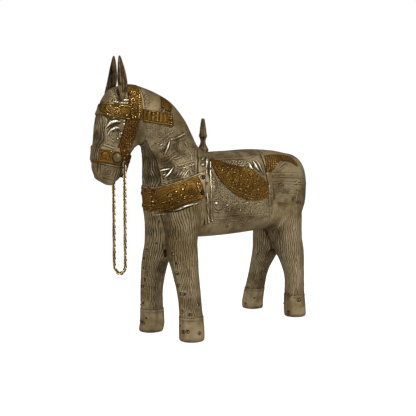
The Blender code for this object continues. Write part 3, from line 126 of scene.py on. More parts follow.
class Loft:
    """A skin over ribs that stand across the horse.

    A rib is a superellipse between its front and its back point, and Y is its other axis. The angle v is
    0 at the front point and pi at the back point, u counts the ribs on a Catmull-Rom curve, and past the
    last rib the skin closes in a rounded cap.
    """

    def __init__(self, ribs, cap=0.0, cap_power=2.4):
        """Takes the ribs, and how far the cap swells past the last of them."""
        self.ribs = np.array([(*rib, 0.0)[:9] for rib in ribs])
        self.ribs[:, [0, 2]] += SHIFT
        self.cap = cap
        self.cap_power = cap_power
        self.last = len(ribs) - 1
        along = self.ribs[-1, 0:2] - self.ribs[-1, 2:4]
        travel = self.ribs[-1, 0:4] - self.ribs[-2, 0:4]
        ahead = along[1] * (travel[0] + travel[2]) - along[0] * (travel[1] + travel[3])
        self.way = 1.0 if ahead > 0 else -1.0

    def rib(self, u):
        """The rib's values at u, on a Catmull-Rom curve through the ribs."""
        rows = np.vstack([2 * self.ribs[0] - self.ribs[1], self.ribs, 2 * self.ribs[-1] - self.ribs[-2]])
        u = np.clip(u, 0, self.last)
        step = np.minimum(np.floor(u).astype(int), self.last - 1)
        t = (u - step)[..., None]
        a, b, c, d = (rows[step + k] for k in range(4))
        return 0.5 * (2 * b + (c - a) * t + (2 * a - 5 * b + 4 * c - d) * t**2
                      + (3 * b - a - 3 * c + d) * t**3)

    def bare(self, u, v):
        """Points of the skin: the rib's centre, plus its half length by cos v and its half width by sin v,
        both divided by (|cos v|^p + |sin v|^p)^(1/p)."""
        u, v = np.broadcast_arrays(np.asarray(u, float), np.asarray(v, float))
        row = self.rib(u)
        front, back = row[..., 0:2], row[..., 2:4]
        half, power, front_taper, back_taper, centre_y = (row[..., k] for k in range(4, 9))
        along = (front - back) / 2
        depth = np.linalg.norm(along, axis=-1)
        along = along / depth[..., None]
        centre = (front + back) / 2
        reach = np.clip(u - self.last, 0, 1) * math.pi / 2
        shrink = np.cos(reach) ** (2 / self.cap_power)
        advance = self.way * self.cap * np.sin(reach) ** (2 / self.cap_power)
        radius = (np.abs(np.cos(v)) ** power + np.abs(np.sin(v)) ** power) ** (-1 / power)
        c, s = radius * np.cos(v), radius * np.sin(v)
        width = 1 - front_taper * ((1 + c) / 2) ** 2 - back_taper * ((1 - c) / 2) ** 2
        x = centre[..., 0] + along[..., 0] * depth * c * shrink + along[..., 1] * advance
        z = centre[..., 1] + along[..., 1] * depth * c * shrink - along[..., 0] * advance
        return np.stack([x, centre_y + half * s * width * shrink, z], -1)

    def stations(self, x, z, per_rib):
        """For points seen from the side: the u of the nearest rib line, and the distance left to it."""
        u = np.linspace(0, self.last, per_rib * self.last + 1)
        row = self.rib(u)
        front, back = row[:, 0:2], row[:, 2:4]
        along = (front - back) / 2
        depth = np.linalg.norm(along, axis=1)
        along = along / depth[:, None]
        off_x = x[:, None] - (front + back)[:, 0] / 2
        off_z = z[:, None] - (front + back)[:, 1] / 2
        across = off_x * along[:, 1] - off_z * along[:, 0]
        c = (off_x * along[:, 0] + off_z * along[:, 1]) / depth
        cost = np.abs(across) + np.maximum(np.abs(c) - 1, 0) * depth
        best = np.argmin(cost, 1)
        pick = np.arange(len(x))
        side = np.clip(best + np.where(across[pick, best] * self.way > 0, 1, -1), 0, len(u) - 1)
        here, there = across[pick, best], across[pick, side]
        share = np.where(here * there < 0, here / np.where(here == there, 1, here - there), 0.0)
        return u[best] + share * (u[side] - u[best]), here * (1 - share) + there * share

    def place(self, x, z):
        """The u and the v, on the +Y side, of the skin point seen at x and z from the side."""
        x, z = np.broadcast_arrays(np.asarray(x, float), np.asarray(z, float))
        shape = x.shape
        u, _ = self.stations(x.ravel(), z.ravel(), 60)
        row = self.rib(u)
        front, back = row[:, 0:2], row[:, 2:4]
        along = (front - back) / 2
        depth = np.linalg.norm(along, axis=1)
        middle = (front + back) / 2
        c = ((x.ravel() - middle[:, 0]) * along[:, 0] + (z.ravel() - middle[:, 1]) * along[:, 1]) / depth**2
        c = np.clip(c, -0.999, 0.999)
        s = (1 - np.abs(c) ** row[:, 5]) ** (1 / row[:, 5])
        return u.reshape(shape), np.arctan2(s, c).reshape(shape)

    def clearance(self, points):
        """How far points lie outside the skin, negative inside.

        In the nearest rib's plane the distance r from its centre is compared with the skin's, r divided by
        rho, where rho^p = |c|^p + |s|^p. Past the end ribs the distance to the end plane or cap is used.
        """
        out = np.empty(len(points))
        for first in range(0, len(points), 20000):
            part = points[first:first + 20000]
            u, beyond = self.stations(part[:, 0], part[:, 2], 10)
            row = self.rib(u)
            front, back = row[:, 0:2], row[:, 2:4]
            along = (front - back) / 2
            depth = np.linalg.norm(along, axis=1)
            middle = (front + back) / 2
            off_x, off_z = part[:, 0] - middle[:, 0], part[:, 2] - middle[:, 1]
            c = (off_x * along[:, 0] + off_z * along[:, 1]) / depth**2
            limit = np.clip(c, -1, 1)
            width = 1 - row[:, 6] * ((1 + limit) / 2) ** 2 - row[:, 7] * ((1 - limit) / 2) ** 2
            s = (part[:, 1] - row[:, 8]) / (row[:, 4] * width)
            rho = (np.abs(c) ** row[:, 5] + np.abs(s) ** row[:, 5]) ** (1 / row[:, 5]) + 1e-6
            over = np.where(beyond * self.way > 0, np.abs(beyond), 0.0)
            under = np.where(beyond * self.way < 0, np.abs(beyond), 0.0)
            if self.cap:
                rho = ((over / self.cap) ** self.cap_power + rho**self.cap_power) ** (1 / self.cap_power)
                over = 0.0
            r = np.sqrt((c * depth) ** 2 + (part[:, 1] - row[:, 8]) ** 2)
            flat = r - r / rho
            out[first:first + 20000] = np.maximum(flat, np.maximum(over, under))
        return out


# The carved surfaces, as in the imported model
BACK_Z = 0.2010
BELLY_Z = 0.1055
BODY_HALF = 0.0320
CHEST_HALF = 0.0322

barrel = Loft([
    # top x, z, bottom x, z, half width, squareness, top taper, bottom taper
    (-0.0660, BACK_Z - 0.0200, -0.0660, BELLY_Z + 0.0035, BODY_HALF - 0.0020, 2.6, 0.1, 0.0),
    (-0.0500, BACK_Z - 0.0060, -0.0500, BELLY_Z + 0.0010, BODY_HALF - 0.0002, 2.6, 0.1, 0.0),
    (-0.0300, BACK_Z - 0.0010, -0.0300, BELLY_Z, BODY_HALF, 2.6, 0.1, 0.0),
    (0.0050, BACK_Z, 0.0050, BELLY_Z - 0.0005, BODY_HALF, 2.6, 0.1, 0.0),
    (0.0400, BACK_Z + 0.0010, 0.0400, BELLY_Z, BODY_HALF, 2.6, 0.1, 0.0),
    (0.0750, BACK_Z - 0.0010, 0.0740, BELLY_Z + 0.0010, BODY_HALF, 2.7, 0.1, 0.0),
    (0.1020, BACK_Z - 0.0050, 0.0940, BELLY_Z + 0.0040, BODY_HALF - 0.0005, 2.7, 0.1, 0.0),
], cap=0.0310)

neck = Loft([
    # front x, z, back x, z, half width, squareness, front taper, back taper
    (-0.0925, 0.0900, -0.0800, 0.0910, CHEST_HALF - 0.0100, 3.0, 0.05, 0.0),
    (-0.0955, 0.1070, -0.0700, 0.1080, CHEST_HALF - 0.0060, 3.6, 0.05, 0.0),
    (-0.0995, 0.1280, -0.0500, 0.1370, CHEST_HALF - 0.0040, 4.0, 0.04, 0.0),
    (-0.1065, 0.1400, -0.0370, 0.1600, CHEST_HALF, 4.2, 0.06, 0.0),
    (-0.1130, 0.1550, -0.0350, 0.1750, CHEST_HALF - 0.0010, 4.0, 0.14, 0.0),
    (-0.1195, 0.1660, -0.0360, 0.1880, 0.0275, 3.4, 0.30, 0.1),
    (-0.1200, 0.1760, -0.0420, 0.2015, 0.0215, 2.8, 0.30, 0.3),
    (-0.1200, 0.1880, -0.0500, 0.2085, 0.0180, 2.8, 0.25, 0.4),
    (-0.1205, 0.1990, -0.0580, 0.2210, 0.0165, 2.8, 0.20, 0.4),
    (-0.1220, 0.2055, -0.0700, 0.2380, 0.0158, 2.8, 0.15, 0.4),
    (-0.1250, 0.2090, -0.0890, 0.2550, 0.0152, 2.8, 0.10, 0.4),
    (-0.1285, 0.2105, -0.1120, 0.2650, 0.0145, 2.8, 0.10, 0.35),
    (-0.1320, 0.2110, -0.1360, 0.2715, 0.0138, 2.8, 0.10, 0.30),
    (-0.1360, 0.2110, -0.1440, 0.2725, 0.0134, 2.8, 0.10, 0.30),
])

head = Loft([
    # face x, z, jaw x, z, half width, squareness, face taper, jaw taper
    (-0.1280, 0.2705, -0.1290, 0.2110, 0.0142, 2.8, 0.30, 0.10),
    (-0.1360, 0.2715, -0.1320, 0.2110, 0.0138, 2.8, 0.30, 0.10),
    (-0.1510, 0.2720, -0.1380, 0.2090, 0.0132, 2.8, 0.30, 0.10),
    (-0.1680, 0.2680, -0.1420, 0.2065, 0.0126, 2.9, 0.30, 0.15),
    (-0.1765, 0.2610, -0.1430, 0.2052, 0.0122, 3.0, 0.29, 0.20),
    (-0.1815, 0.2530, -0.1445, 0.2035, 0.0118, 3.1, 0.28, 0.25),
    (-0.1875, 0.2350, -0.1480, 0.1985, 0.0098, 3.4, 0.18, 0.30),
    (-0.1903, 0.2170, -0.1515, 0.1910, 0.0078, 3.4, 0.10, 0.30),
    (-0.1925, 0.2020, -0.1555, 0.1825, 0.0067, 3.4, 0.05, 0.25),
    (-0.1938, 0.1890, -0.1620, 0.1760, 0.0062, 3.4, 0.05, 0.20),
    (-0.1905, 0.1805, -0.1690, 0.1720, 0.0056, 3.4, 0.05, 0.10),
], cap=0.0045)

breech = Loft([
    # front x, z, back x, z, half width, squareness, front taper, back taper
    (0.0880, 0.0770, 0.1020, 0.0770, 0.0200, 2.6, 0.0, 0.0),
    (0.0820, 0.0910, 0.1080, 0.0910, 0.0260, 2.6, 0.0, 0.0),
    (0.0760, 0.1090, 0.1120, 0.1090, 0.0290, 2.6, 0.0, 0.0),
    (0.0790, 0.1500, 0.1110, 0.1500, 0.0270, 2.6, 0.0, 0.0),
])


def round_row(height, offset, lean, radius):
    """A round section of a leg: its centre lies offset behind the hoof's."""
    return (height, 0.0, radius - offset, radius + offset, lean, radius)


# Leg sections: height at the front, rise to the back, reach forwards and backwards, lean, half width
FRONT_LEG_ROWS = [
    round_row(0.0000, 0.0000, 1.00, 0.0115),
    round_row(0.0020, 0.0000, 0.99, 0.0131),
    round_row(0.0100, 0.0007, 0.93, 0.0133),
    round_row(0.0255, 0.0003, 0.915, 0.0128),
    round_row(0.0285, 0.0000, 0.91, 0.0123),
    round_row(0.0500, -0.0013, 0.81, 0.0123),
    round_row(0.0760, -0.0019, 0.48, 0.0142),
    round_row(0.0880, -0.0010, 0.24, 0.0159),
    (0.1030, 0.0020, 0.0160, 0.0160, 0.08, 0.0162),
    (0.1160, 0.0060, 0.0165, 0.0200, 0.04, 0.0164),
    (0.1270, 0.0110, 0.0175, 0.0235, 0.01, 0.0164),
    (0.1385, 0.0135, 0.0200, 0.0240, 0.00, 0.0163),
]
REAR_LEG_ROWS = [
    round_row(0.0000, 0.0000, 1.00, 0.0109),
    round_row(0.0020, 0.0000, 1.00, 0.0125),
    round_row(0.0100, -0.0003, 0.98, 0.0127),
    round_row(0.0255, 0.0011, 0.87, 0.0122),
    round_row(0.0285, 0.0018, 0.85, 0.0117),
    round_row(0.0500, 0.0051, 0.655, 0.0119),
    round_row(0.0760, 0.0078, 0.17, 0.0162),
    round_row(0.0950, 0.0062, 0.03, 0.0168),
    round_row(0.1150, 0.0066, 0.00, 0.0166),
    round_row(0.1350, 0.0085, -0.05, 0.0158),
    round_row(0.1500, 0.0100, -0.08, 0.0145),
]


def leg_loft(rows, x, hoof_y, side):
    """The skin of a leg from its sole to its top."""
    ribs = []
    for z, rise, ahead, behind, lean, half in rows:
        y = side * (0.0165 + lean * (hoof_y - 0.0165))
        ribs.append((x - ahead, z, x + behind, z + rise, half, 2.1 + 15 * rise, 0.0, 0.0, y))
    return Loft(ribs)


LEGS = {
    "front_left": leg_loft(FRONT_LEG_ROWS, -0.0872, 0.0326, -1),
    "front_right": leg_loft(FRONT_LEG_ROWS, -0.0872, 0.0326, 1),
    "rear_left": leg_loft(REAR_LEG_ROWS, 0.0880, 0.0342, -1),
    "rear_right": leg_loft(REAR_LEG_ROWS, 0.0880, 0.0342, 1),
}
BODIES = {"barrel": barrel, "chest": neck, "breech": breech, **LEGS}


def others_clearance(points, names):
    """The clearance of points from several bodies, joined by smooth_least over 4 mm."""
    found = np.full(len(points), 1.0)
    for name in names:
        body = BODIES[name]
        corners = body.bare(np.linspace(0, body.last + 1.0 * (body.cap > 0), 30)[:, None],
                            np.linspace(0, 2 * math.pi, 25)[None, :]).reshape(-1, 3)
        near = np.all((points > corners.min(0) - 0.02) & (points < corners.max(0) + 0.02), 1)
        if near.any():
            away = np.full(len(points), 1.0)
            away[near] = body.clearance(points[near])
            found = smooth_least(found, away, 0.004)
    return found


def smooth_least(a, b, reach):
    """The smaller of a and b, with the corner between them rounded: less h^2 reach / 4, where
    h = 1 - |a - b| / reach."""
    h = np.clip(1 - np.abs(a - b) / reach, 0, 1)
    return np.minimum(a, b) - h * h * reach / 4


def normals_of(points, wrap=False):
    """Unit normals of a grid: the cross product of its differences along both ways."""
    down = np.gradient(points, axis=0)
    if wrap:
        across = (np.roll(points, -1, 1) - np.roll(points, 1, 1)) / 2
    else:
        across = np.gradient(points, axis=1)
    n = np.cross(down, across)
    return n / np.maximum(np.linalg.norm(n, axis=-1), 1e-12)[..., None]


def outward_normals(loft, u, points, wrap=False):
    """The grid's unit normals, turned away from the middle line of the loft."""
    n = normals_of(points, wrap)
    row = loft.rib(np.minimum(np.broadcast_to(u, points.shape[:2]), loft.last))
    middle = np.stack([(row[..., 0] + row[..., 2]) / 2, row[..., 8], (row[..., 1] + row[..., 3]) / 2], -1)
    return n if np.sum(n * (points - middle)) > 0 else -n


def fillet(points, normals, names, reach):
    """How far a skin is raised to flow into other bodies.

    A point at clearance e from the others rises by reach / 4 times (1 - e / reach) squared, less where the
    two skins are nearly parallel. Where the others lie outside it, it sinks below them.
    """
    flat = points.reshape(-1, 3)
    n = normals.reshape(-1, 3)
    start = others_clearance(flat, names)
    step = 0.0015
    facing = (others_clearance(flat + step * n, names) - start) / step
    span = reach * np.clip(1 - facing, 0.02, 1) ** 0.8
    rise = np.zeros(len(flat))
    left = start
    for _ in range(3):
        rise = span / 4 * np.clip(1 - np.maximum(left, 0) / span, 0, 1) ** 2
        left = others_clearance(flat + rise[:, None] * n, names) - rise
    rise = np.where(left < 0, np.maximum(span / 4 + left, -0.0022), rise)
    return rise.reshape(points.shape[:2])


def softened(grid, rounds, wrap=False):
    """A grid of values, each replaced by the mean of itself and its neighbours, several times."""
    for _ in range(rounds):
        padded = np.pad(grid, ((1, 1), (0, 0)), mode="edge")
        padded = np.pad(padded, ((0, 0), (1, 1)), mode="wrap" if wrap else "edge")
        grid = (padded[1:-1, 1:-1] * 2 + padded[:-2, 1:-1] + padded[2:, 1:-1] + padded[1:-1, :-2]
                + padded[1:-1, 2:]) / 6
    return grid


def mesh_from_grid(name, points, wrap, keep=None, values=None, poles=(False, False)):
    """A mesh of quads on a grid of points, without the quads whose corners aren't all kept.

    The values are stored on its points by name, and the faces run so that the grid's rows cross its
    columns outwards. A pole is a first or last row that is drawn together to one point.
    """
    rows, columns = points.shape[:2]
    index = np.arange(rows * columns).reshape(rows, columns)
    if poles[0]:
        index[0] = index[0, 0]
    if poles[1]:
        index[-1] = index[-1, 0]
    right = np.roll(index, -1, 1) if wrap else index[:, 1:]
    left = index if wrap else index[:, :-1]
    quads = np.stack([left[:-1], left[1:], right[1:], right[:-1]], -1).reshape(-1, 4)
    if keep is not None:
        quads = quads[keep.ravel()[quads].all(1)]
    first, last = quads[:, 0] == quads[:, 3], quads[:, 1] == quads[:, 2]
    triangles = np.concatenate([quads[first][:, :3], quads[last][:, [0, 1, 3]]])
    quads = quads[~(first | last)]
    used, inverse = np.unique(np.concatenate([quads.ravel(), triangles.ravel()]), return_inverse=True)
    starts = np.concatenate([np.arange(len(quads)) * 4, quads.size + np.arange(len(triangles)) * 3])
    mesh = bpy.data.meshes.new(name)
    mesh.vertices.add(len(used))
    mesh.vertices.foreach_set("co", points.reshape(-1, 3)[used].astype(np.float32).ravel())
    mesh.loops.add(len(inverse))
    mesh.loops.foreach_set("vertex_index", inverse.ravel().astype(np.int32))
    mesh.polygons.add(len(starts))
    mesh.polygons.foreach_set("loop_start", starts.astype(np.int32))
    mesh.update(calc_edges=True)
    mesh.validate()
    mesh.polygons.foreach_set("use_smooth", np.ones(len(starts), bool))
    for key, grid in (values or {}).items():
        layer = mesh.attributes.new(key, "FLOAT", "POINT")
        layer.data.foreach_set("value",
                               np.broadcast_to(grid, (rows, columns)).ravel()[used].astype(np.float32))
    return mesh


def add_piece(name, mesh, material, replaced=(), body="horse"):
    """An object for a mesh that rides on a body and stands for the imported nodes."""
    thing = bpy.data.objects.new(name, mesh)
    scene.collection.objects.link(thing)
    mesh.materials.append(material)
    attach(thing, body)
    for node in replaced:
        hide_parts(node)
    return thing


FOLD = 0.0009               # how deep the edge of a sheet turns in
RELIEF_DEPTH = 0.6          # the share of a drawing's height that the sheet rises by, a guess


def sheet_skin(name, loft, u, v, relief, material, slot, replaced, lift=0.0, flow=(), reach=0.012,
               wrap=False, keep=None, fold=True, sides=None, grime=None, sink=None, poles=(False, False)):
    """A thin sheet on a loft: the skin, raised by its fillet, its lift and its relief, with its edges
    turned in.

    The relief takes the image units x and y, the distances s along v and t along u in millimetres, and
    the points, and gives millimetres. On the far side the drawing is the mirror image of the near one.
    The darkening takes the same and gives a share, which is soiling on some sheets and painted shade on
    others, and sink gives how far a place lies under other sheets.
    """
    u, v = np.broadcast_arrays(u, v)
    points = loft.bare(u, v)
    normals = outward_normals(loft, u, points, wrap)
    kept = np.ones(points.shape[:2], bool)
    if flow:
        rise = fillet(points, normals, flow, reach)
        points = points + normals * rise[..., None]
        normals = outward_normals(loft, u, points, wrap)
        kept &= rise > -0.0021
    middle = points.shape[1] // 2
    s = np.concatenate([[0], np.cumsum(np.linalg.norm(np.diff(points, axis=1), axis=-1).mean(0))]) * 1000
    s = np.broadcast_to(s - s[middle], points.shape[:2])
    t = np.concatenate([[0], np.cumsum(np.linalg.norm(np.diff(points, axis=0), axis=-1).mean(1))]) * 1000
    t = np.broadcast_to(t[:, None], points.shape[:2])
    if keep is not None:
        kept &= keep(points)
    x, y = image_of(mirrored(points))
    height = relief(x, y, s, t, points)
    if points[..., 1].max() > 0.001 and points[..., 1].min() < -0.001:
        sight = points - EYE
        facing = -np.sum(normals * sight, -1) / np.linalg.norm(sight, axis=-1)
        share = np.where(points[..., 1] > 0, ease(facing, 0.0, 0.2), 1.0)
        seen_x, seen_y = image_of(points)
        height = share * relief(seen_x, seen_y, s, t, points) + (1 - share) * height
    near = points * (1, -1, 1) if points[..., 1].min() > 0 else points
    turned_to = normals * (1, -1, 1) if points[..., 1].min() > 0 else normals
    sight = near - EYE
    facing = -np.sum(turned_to * sight, -1) / np.linalg.norm(sight, axis=-1)
    height = height + emboss(x, y, NAIL_DENTS) * ease(facing, 0.4, 0.6)
    soft = softened(height, 5, wrap)
    bare = height - soft
    raised = np.clip(np.where(bare > 0, 1.0, 3.2) * bare + 1.6 * np.clip(bare - 0.2, 0, None), -0.5, 0.5)
    soiled = np.zeros(points.shape[:2]) if grime is None else grime(x, y, s, t, points)
    height = RELIEF_DEPTH * height
    if sink is not None:
        height = height - sink(x, y, s, t, points)
    surface = points + normals * (lift + height * 0.001)[..., None]
    if fold:
        surface, raised, soiled, kept = turn_in(surface, normals, wrap, raised, soiled, kept)
    for end in (0, -1):
        if poles[end]:
            surface[end] = surface[end].mean(0)
    probe = (surface.shape[0] // 2, surface.shape[1] // 2)
    way = np.sum(normals_of(surface, wrap)[probe] * normals[points.shape[0] // 2, points.shape[1] // 2])
    if way < 0:
        surface, raised, soiled, kept = surface[::-1], raised[::-1], soiled[::-1], kept[::-1]
    made = []
    for side_name in sides or [None]:
        grid, high, soil_and_shade, held = surface, raised, soiled, kept
        if side_name == "right":
            grid, high, soil_and_shade, held = (surface * MIRROR)[::-1], raised[::-1], soiled[::-1], kept[::-1]
        label = f"{name}_{side_name}" if side_name else name
        ends = poles[::-1] if (way < 0) != (side_name == "right") else poles
        mesh = mesh_from_grid(label, grid, wrap, held, {"raised": high, "grime": soil_and_shade}, ends)
        made.append(add_piece(label, mesh, material, [node.format(side_name) for node in replaced]))
    return made


MIRROR = np.array([1.0, -1.0, 1.0])


def turn_in(surface, normals, wrap, raised, soiled, kept):
    """A sheet's grid with one more ring of points, which lie FOLD below its edges."""
    inner = surface - normals * FOLD
    if not wrap:
        surface = np.concatenate([inner[:, :1], surface, inner[:, -1:]], 1)
        inner = np.concatenate([inner[:, :1], inner, inner[:, -1:]], 1)
        raised = np.pad(raised, ((0, 0), (1, 1)), constant_values=-0.35)
        soiled, kept = (np.pad(a, ((0, 0), (1, 1)), mode="edge") for a in (soiled, kept))
    surface = np.concatenate([inner[:1], surface, inner[-1:]], 0)
    raised = np.pad(raised, ((1, 1), (0, 0)), constant_values=-0.35)
    soiled, kept = (np.pad(a, ((1, 1), (0, 0)), mode="edge") for a in (soiled, kept))
    return surface, raised, soiled, kept


def spaced(low, high, length, step=0.6):
    """Evenly spread values from low to high, so many that they lie about step millimetres apart."""
    return np.linspace(low, high, max(int(abs(length) / step), 4) + 1)


# Embossed shapes, in image units, with heights in millimetres. Each gives the box it lies in and a
# function of x and y that gives its height.
def line_field(x, y, line):
    """The distance to a line of straight pieces, and the length along it, at each point."""
    nearest = np.full(x.shape, 1e9)
    along = np.zeros(x.shape)
    done = 0.0
    for (x0, y0), (x1, y1) in zip(line[:-1], line[1:]):
        dx, dy = x1 - x0, y1 - y0
        size = math.hypot(dx, dy)
        share = np.clip(((x - x0) * dx + (y - y0) * dy) / size**2, 0, 1)
        off = np.hypot(x - x0 - share * dx, y - y0 - share * dy)
        nearer = off < nearest
        nearest = np.where(nearer, off, nearest)
        along = np.where(nearer, done + share * size, along)
        done += size
    return nearest, along, done


def smooth_line(points, count=5):
    """A Catmull-Rom curve through a few points, with count pieces between each two."""
    p = np.array(points, float)
    if len(p) < 3:
        return p
    rows = np.vstack([2 * p[0] - p[1], p, 2 * p[-1] - p[-2]])
    t = np.linspace(0, 1, count, endpoint=False)[:, None]
    parts = []
    for a, b, c, d in zip(rows[:-3], rows[1:-2], rows[2:-1], rows[3:]):
        parts.append(0.5 * (2 * b + (c - a) * t + (2 * a - 5 * b + 4 * c - d) * t**2
                            + (3 * b - a - 3 * c + d) * t**3))
    return np.vstack([*parts, p[-1:]])


def box_round(line, margin):
    """The lowest and highest x and y of a line, widened by a margin."""
    line = np.array(line, float)
    return (*(line.min(0) - margin), *(line.max(0) + margin))


def ridge(width, height, points):
    """A round ridge: the height times exp(-(distance / width)^2)."""
    line = smooth_line(points)

    def shape(x, y):
        """Its height at points of the image."""
        away, _, _ = line_field(x, y, line)
        return height * np.exp(-(away / width) ** 2)
    return box_round(line, 2.5 * width), shape


def stroke(width, height, points):
    """A ridge that tapers to both ends, its width a sine of the length along it."""
    line = smooth_line(points)

    def shape(x, y):
        """Its height at points of the image."""
        away, along, total = line_field(x, y, line)
        full = 0.3 + 0.7 * np.sin(math.pi * np.clip(along / total, 0, 1))
        return height * full * np.exp(-(away / (width * full)) ** 2)
    return box_round(line, 2.5 * width), shape


def beads(pitch, radius, height, points):
    """A row of half balls a pitch apart along a line."""
    line = smooth_line(points)

    def shape(x, y):
        """Its height at points of the image."""
        away, along, _ = line_field(x, y, line)
        step = (along + pitch / 2) % pitch - pitch / 2
        return height * np.sqrt(np.clip(1 - (away**2 + step**2) / radius**2, 0, 1))
    return box_round(line, radius), shape


def dome(cx, cy, radius, height):
    """A half ball, flattened to a height."""
    def shape(x, y):
        """Its height at points of the image."""
        return height * np.sqrt(np.clip(1 - ((x - cx) ** 2 + (y - cy) ** 2) / radius**2, 0, 1))
    return (cx - radius, cy - radius, cx + radius, cy + radius), shape


def ring(cx, cy, radius, width, height):
    """A round ridge on a circle."""
    def shape(x, y):
        """Its height at points of the image."""
        return height * np.exp(-((np.hypot(x - cx, y - cy) - radius) / width) ** 2)
    reach = radius + 2.5 * width
    return (cx - reach, cy - reach, cx + reach, cy + reach), shape


def rosette(cx, cy, radius, petals, height):
    """A flower: petals as a cosine of the angle, a ring round them and a bead in the middle."""
    def shape(x, y):
        """Its height at points of the image."""
        r = np.hypot(x - cx, y - cy) / radius
        angle = np.arctan2(y - cy, x - cx)
        leaf = (0.5 + 0.5 * np.cos(petals * angle)) * np.exp(-((r - 0.55) / 0.26) ** 2)
        return height * (leaf + np.exp(-((r - 1.0) / 0.13) ** 2) + np.exp(-(r / 0.2) ** 2))
    reach = 1.4 * radius
    return (cx - reach, cy - reach, cx + reach, cy + reach), shape


def spiral(cx, cy, radius, turns, width, height, start=0.0, way=1):
    """A ridge on a spiral whose radius grows evenly with the angle."""
    def shape(x, y):
        """Its height at points of the image."""
        r = np.hypot(x - cx, y - cy)
        angle = (way * np.arctan2(y - cy, x - cx) - start) / (2 * math.pi) % 1.0
        step = radius / turns
        k = np.round(r / step - angle)
        target = (np.clip(k, 0, None) + angle) * step
        return height * np.exp(-((r - target) / width) ** 2) * (target <= radius) * (r < radius + width)
    reach = radius + 2 * width
    return (cx - reach, cy - reach, cx + reach, cy + reach), shape


def rays(cx, cy, inner, outer, first, last, count, height):
    """A fan: a cosine of the angle between two angles in degrees, from the inner to the outer radius."""
    def shape(x, y):
        """Its height at points of the image."""
        r = np.hypot(x - cx, y - cy)
        angle = np.degrees(np.arctan2(-(y - cy), x - cx))
        share = ((angle - first) % 360) / ((last - first) % 360)
        window = ease(r, inner - 0.5, inner + 0.5) * (1 - ease(r, outer - 0.7, outer + 0.3)) * (share <= 1)
        return height * window * (0.5 - 0.5 * np.cos(2 * math.pi * share * count)) ** 1.5
    return (cx - outer - 1, cy - outer - 1, cx + outer + 1, cy + outer + 1), shape


def hatch(line, width, pitch, slant, height):
    """Short strokes across a line: a cosine of the length along it, slanted, within half a width."""
    line = smooth_line(line)

    def shape(x, y):
        """Its height at points of the image."""
        away, along, total = line_field(x, y, line)
        ahead = np.clip(along, 0, total)
        side = np.sign((x - line[0][0]) * (line[-1][1] - line[0][1])
                       - (y - line[0][1]) * (line[-1][0] - line[0][0]))
        wave = 0.5 + 0.5 * np.cos(2 * math.pi * (ahead + slant * side * away) / pitch)
        ends = ease(along, 0.0, 0.4) * (1 - ease(along, total - 0.4, total))
        return height * wave**1.3 * (1 - ease(away, width / 2 - 0.5, width / 2 + 0.4)) * ends
    return box_round(line, width / 2 + 1), shape


def stipple(x0, y0, x1, y1, pitch, height, seed=5):
    """Punched dots: one in each cell of a pitch, pushed aside, sunk by the height."""
    def shape(x, y):
        """Its height at points of the image."""
        i, j = np.floor(x / pitch).astype(np.int64), np.floor(y / pitch).astype(np.int64)
        dx = x / pitch - i - 0.5 - 0.5 * (cell_value(i, j, seed) - 0.5)
        dy = y / pitch - j - 0.5 - 0.5 * (cell_value(i, j, seed + 1) - 0.5)
        inside = ease(x, x0, x0 + 1) * (1 - ease(x, x1 - 1, x1))
        inside = inside * ease(y, y0, y0 + 1) * (1 - ease(y, y1 - 1, y1))
        return height * inside * np.exp(-(dx * dx + dy * dy) / 0.045) * (cell_value(i, j, seed + 2) > 0.2)
    return (x0, y0, x1, y1), shape


def foliage(x0, y0, x1, y1, pitch, height, seed=9):
    """Chased leaves: in each cell of two nets an arc of a circle, thinner to one side, with a bead in it."""
    def shape(x, y):
        """Its height at points of the image."""
        total = np.zeros(x.shape)
        for shift in (0.0, 0.5):
            i = np.floor(x / pitch + shift).astype(np.int64)
            j = np.floor(y / pitch + shift).astype(np.int64)
            a, b, c = (cell_value(i, j, seed + 3 * k + round(10 * shift)) for k in range(3))
            dx = x - (i + 0.5 - shift + 0.3 * (a - 0.5)) * pitch
            dy = y - (j + 0.5 - shift + 0.3 * (c - 0.5)) * pitch
            r = np.hypot(dx, dy) / pitch
            side = 0.5 + 0.5 * np.cos(np.arctan2(dy, dx) - 2 * math.pi * b)
            arc = np.exp(-((r - 0.26 - 0.10 * a) / 0.12) ** 2) * side**0.7
            total = np.maximum(total, arc + 0.6 * np.exp(-(r / 0.13) ** 2))
        inside = ease(x, x0, x0 + 1.5) * (1 - ease(x, x1 - 1.5, x1))
        inside = inside * ease(y, y0, y0 + 1.5) * (1 - ease(y, y1 - 1.5, y1))
        return height * inside * total
    return (x0, y0, x1, y1), shape


def leaf(points, width, height):
    """A leaf along a line: a raised rim at half a width, a sine of the length, and a vein in its middle."""
    line = smooth_line(points)

    def shape(x, y):
        """Its height at points of the image."""
        away, along, total = line_field(x, y, line)
        half = width / 2 * np.sin(math.pi * np.clip(along / total, 0.02, 0.98)) ** 0.8
        rim = np.exp(-((away - half) / 0.45) ** 2)
        return height * (rim + 0.7 * np.exp(-(away / 0.35) ** 2) + 0.25 * (away < half))
    return box_round(line, width / 2 + 1.2), shape


RAISED_GAIN = 1.45
SUNK_GAIN = 1.3


def emboss(x, y, drawing):
    """The heights of a drawing: the greatest of its raised shapes, plus its sunk ones."""
    total = np.zeros(x.shape)
    sunk = np.zeros(x.shape)
    x, y = x + 0.9 * (clouds(x / 4, y / 4, 7) - 0.5), y + 0.9 * (clouds(x / 4, y / 4, 8) - 0.5)
    for (x0, y0, x1, y1), shape in drawing:
        inside = (x > x0) & (x < x1) & (y > y0) & (y < y1)
        if inside.any():
            value = shape(x[inside], y[inside])
            total[inside] = np.maximum(total[inside], value)
            sunk[inside] = np.minimum(sunk[inside], value)
    return RAISED_GAIN * total + SUNK_GAIN * sunk


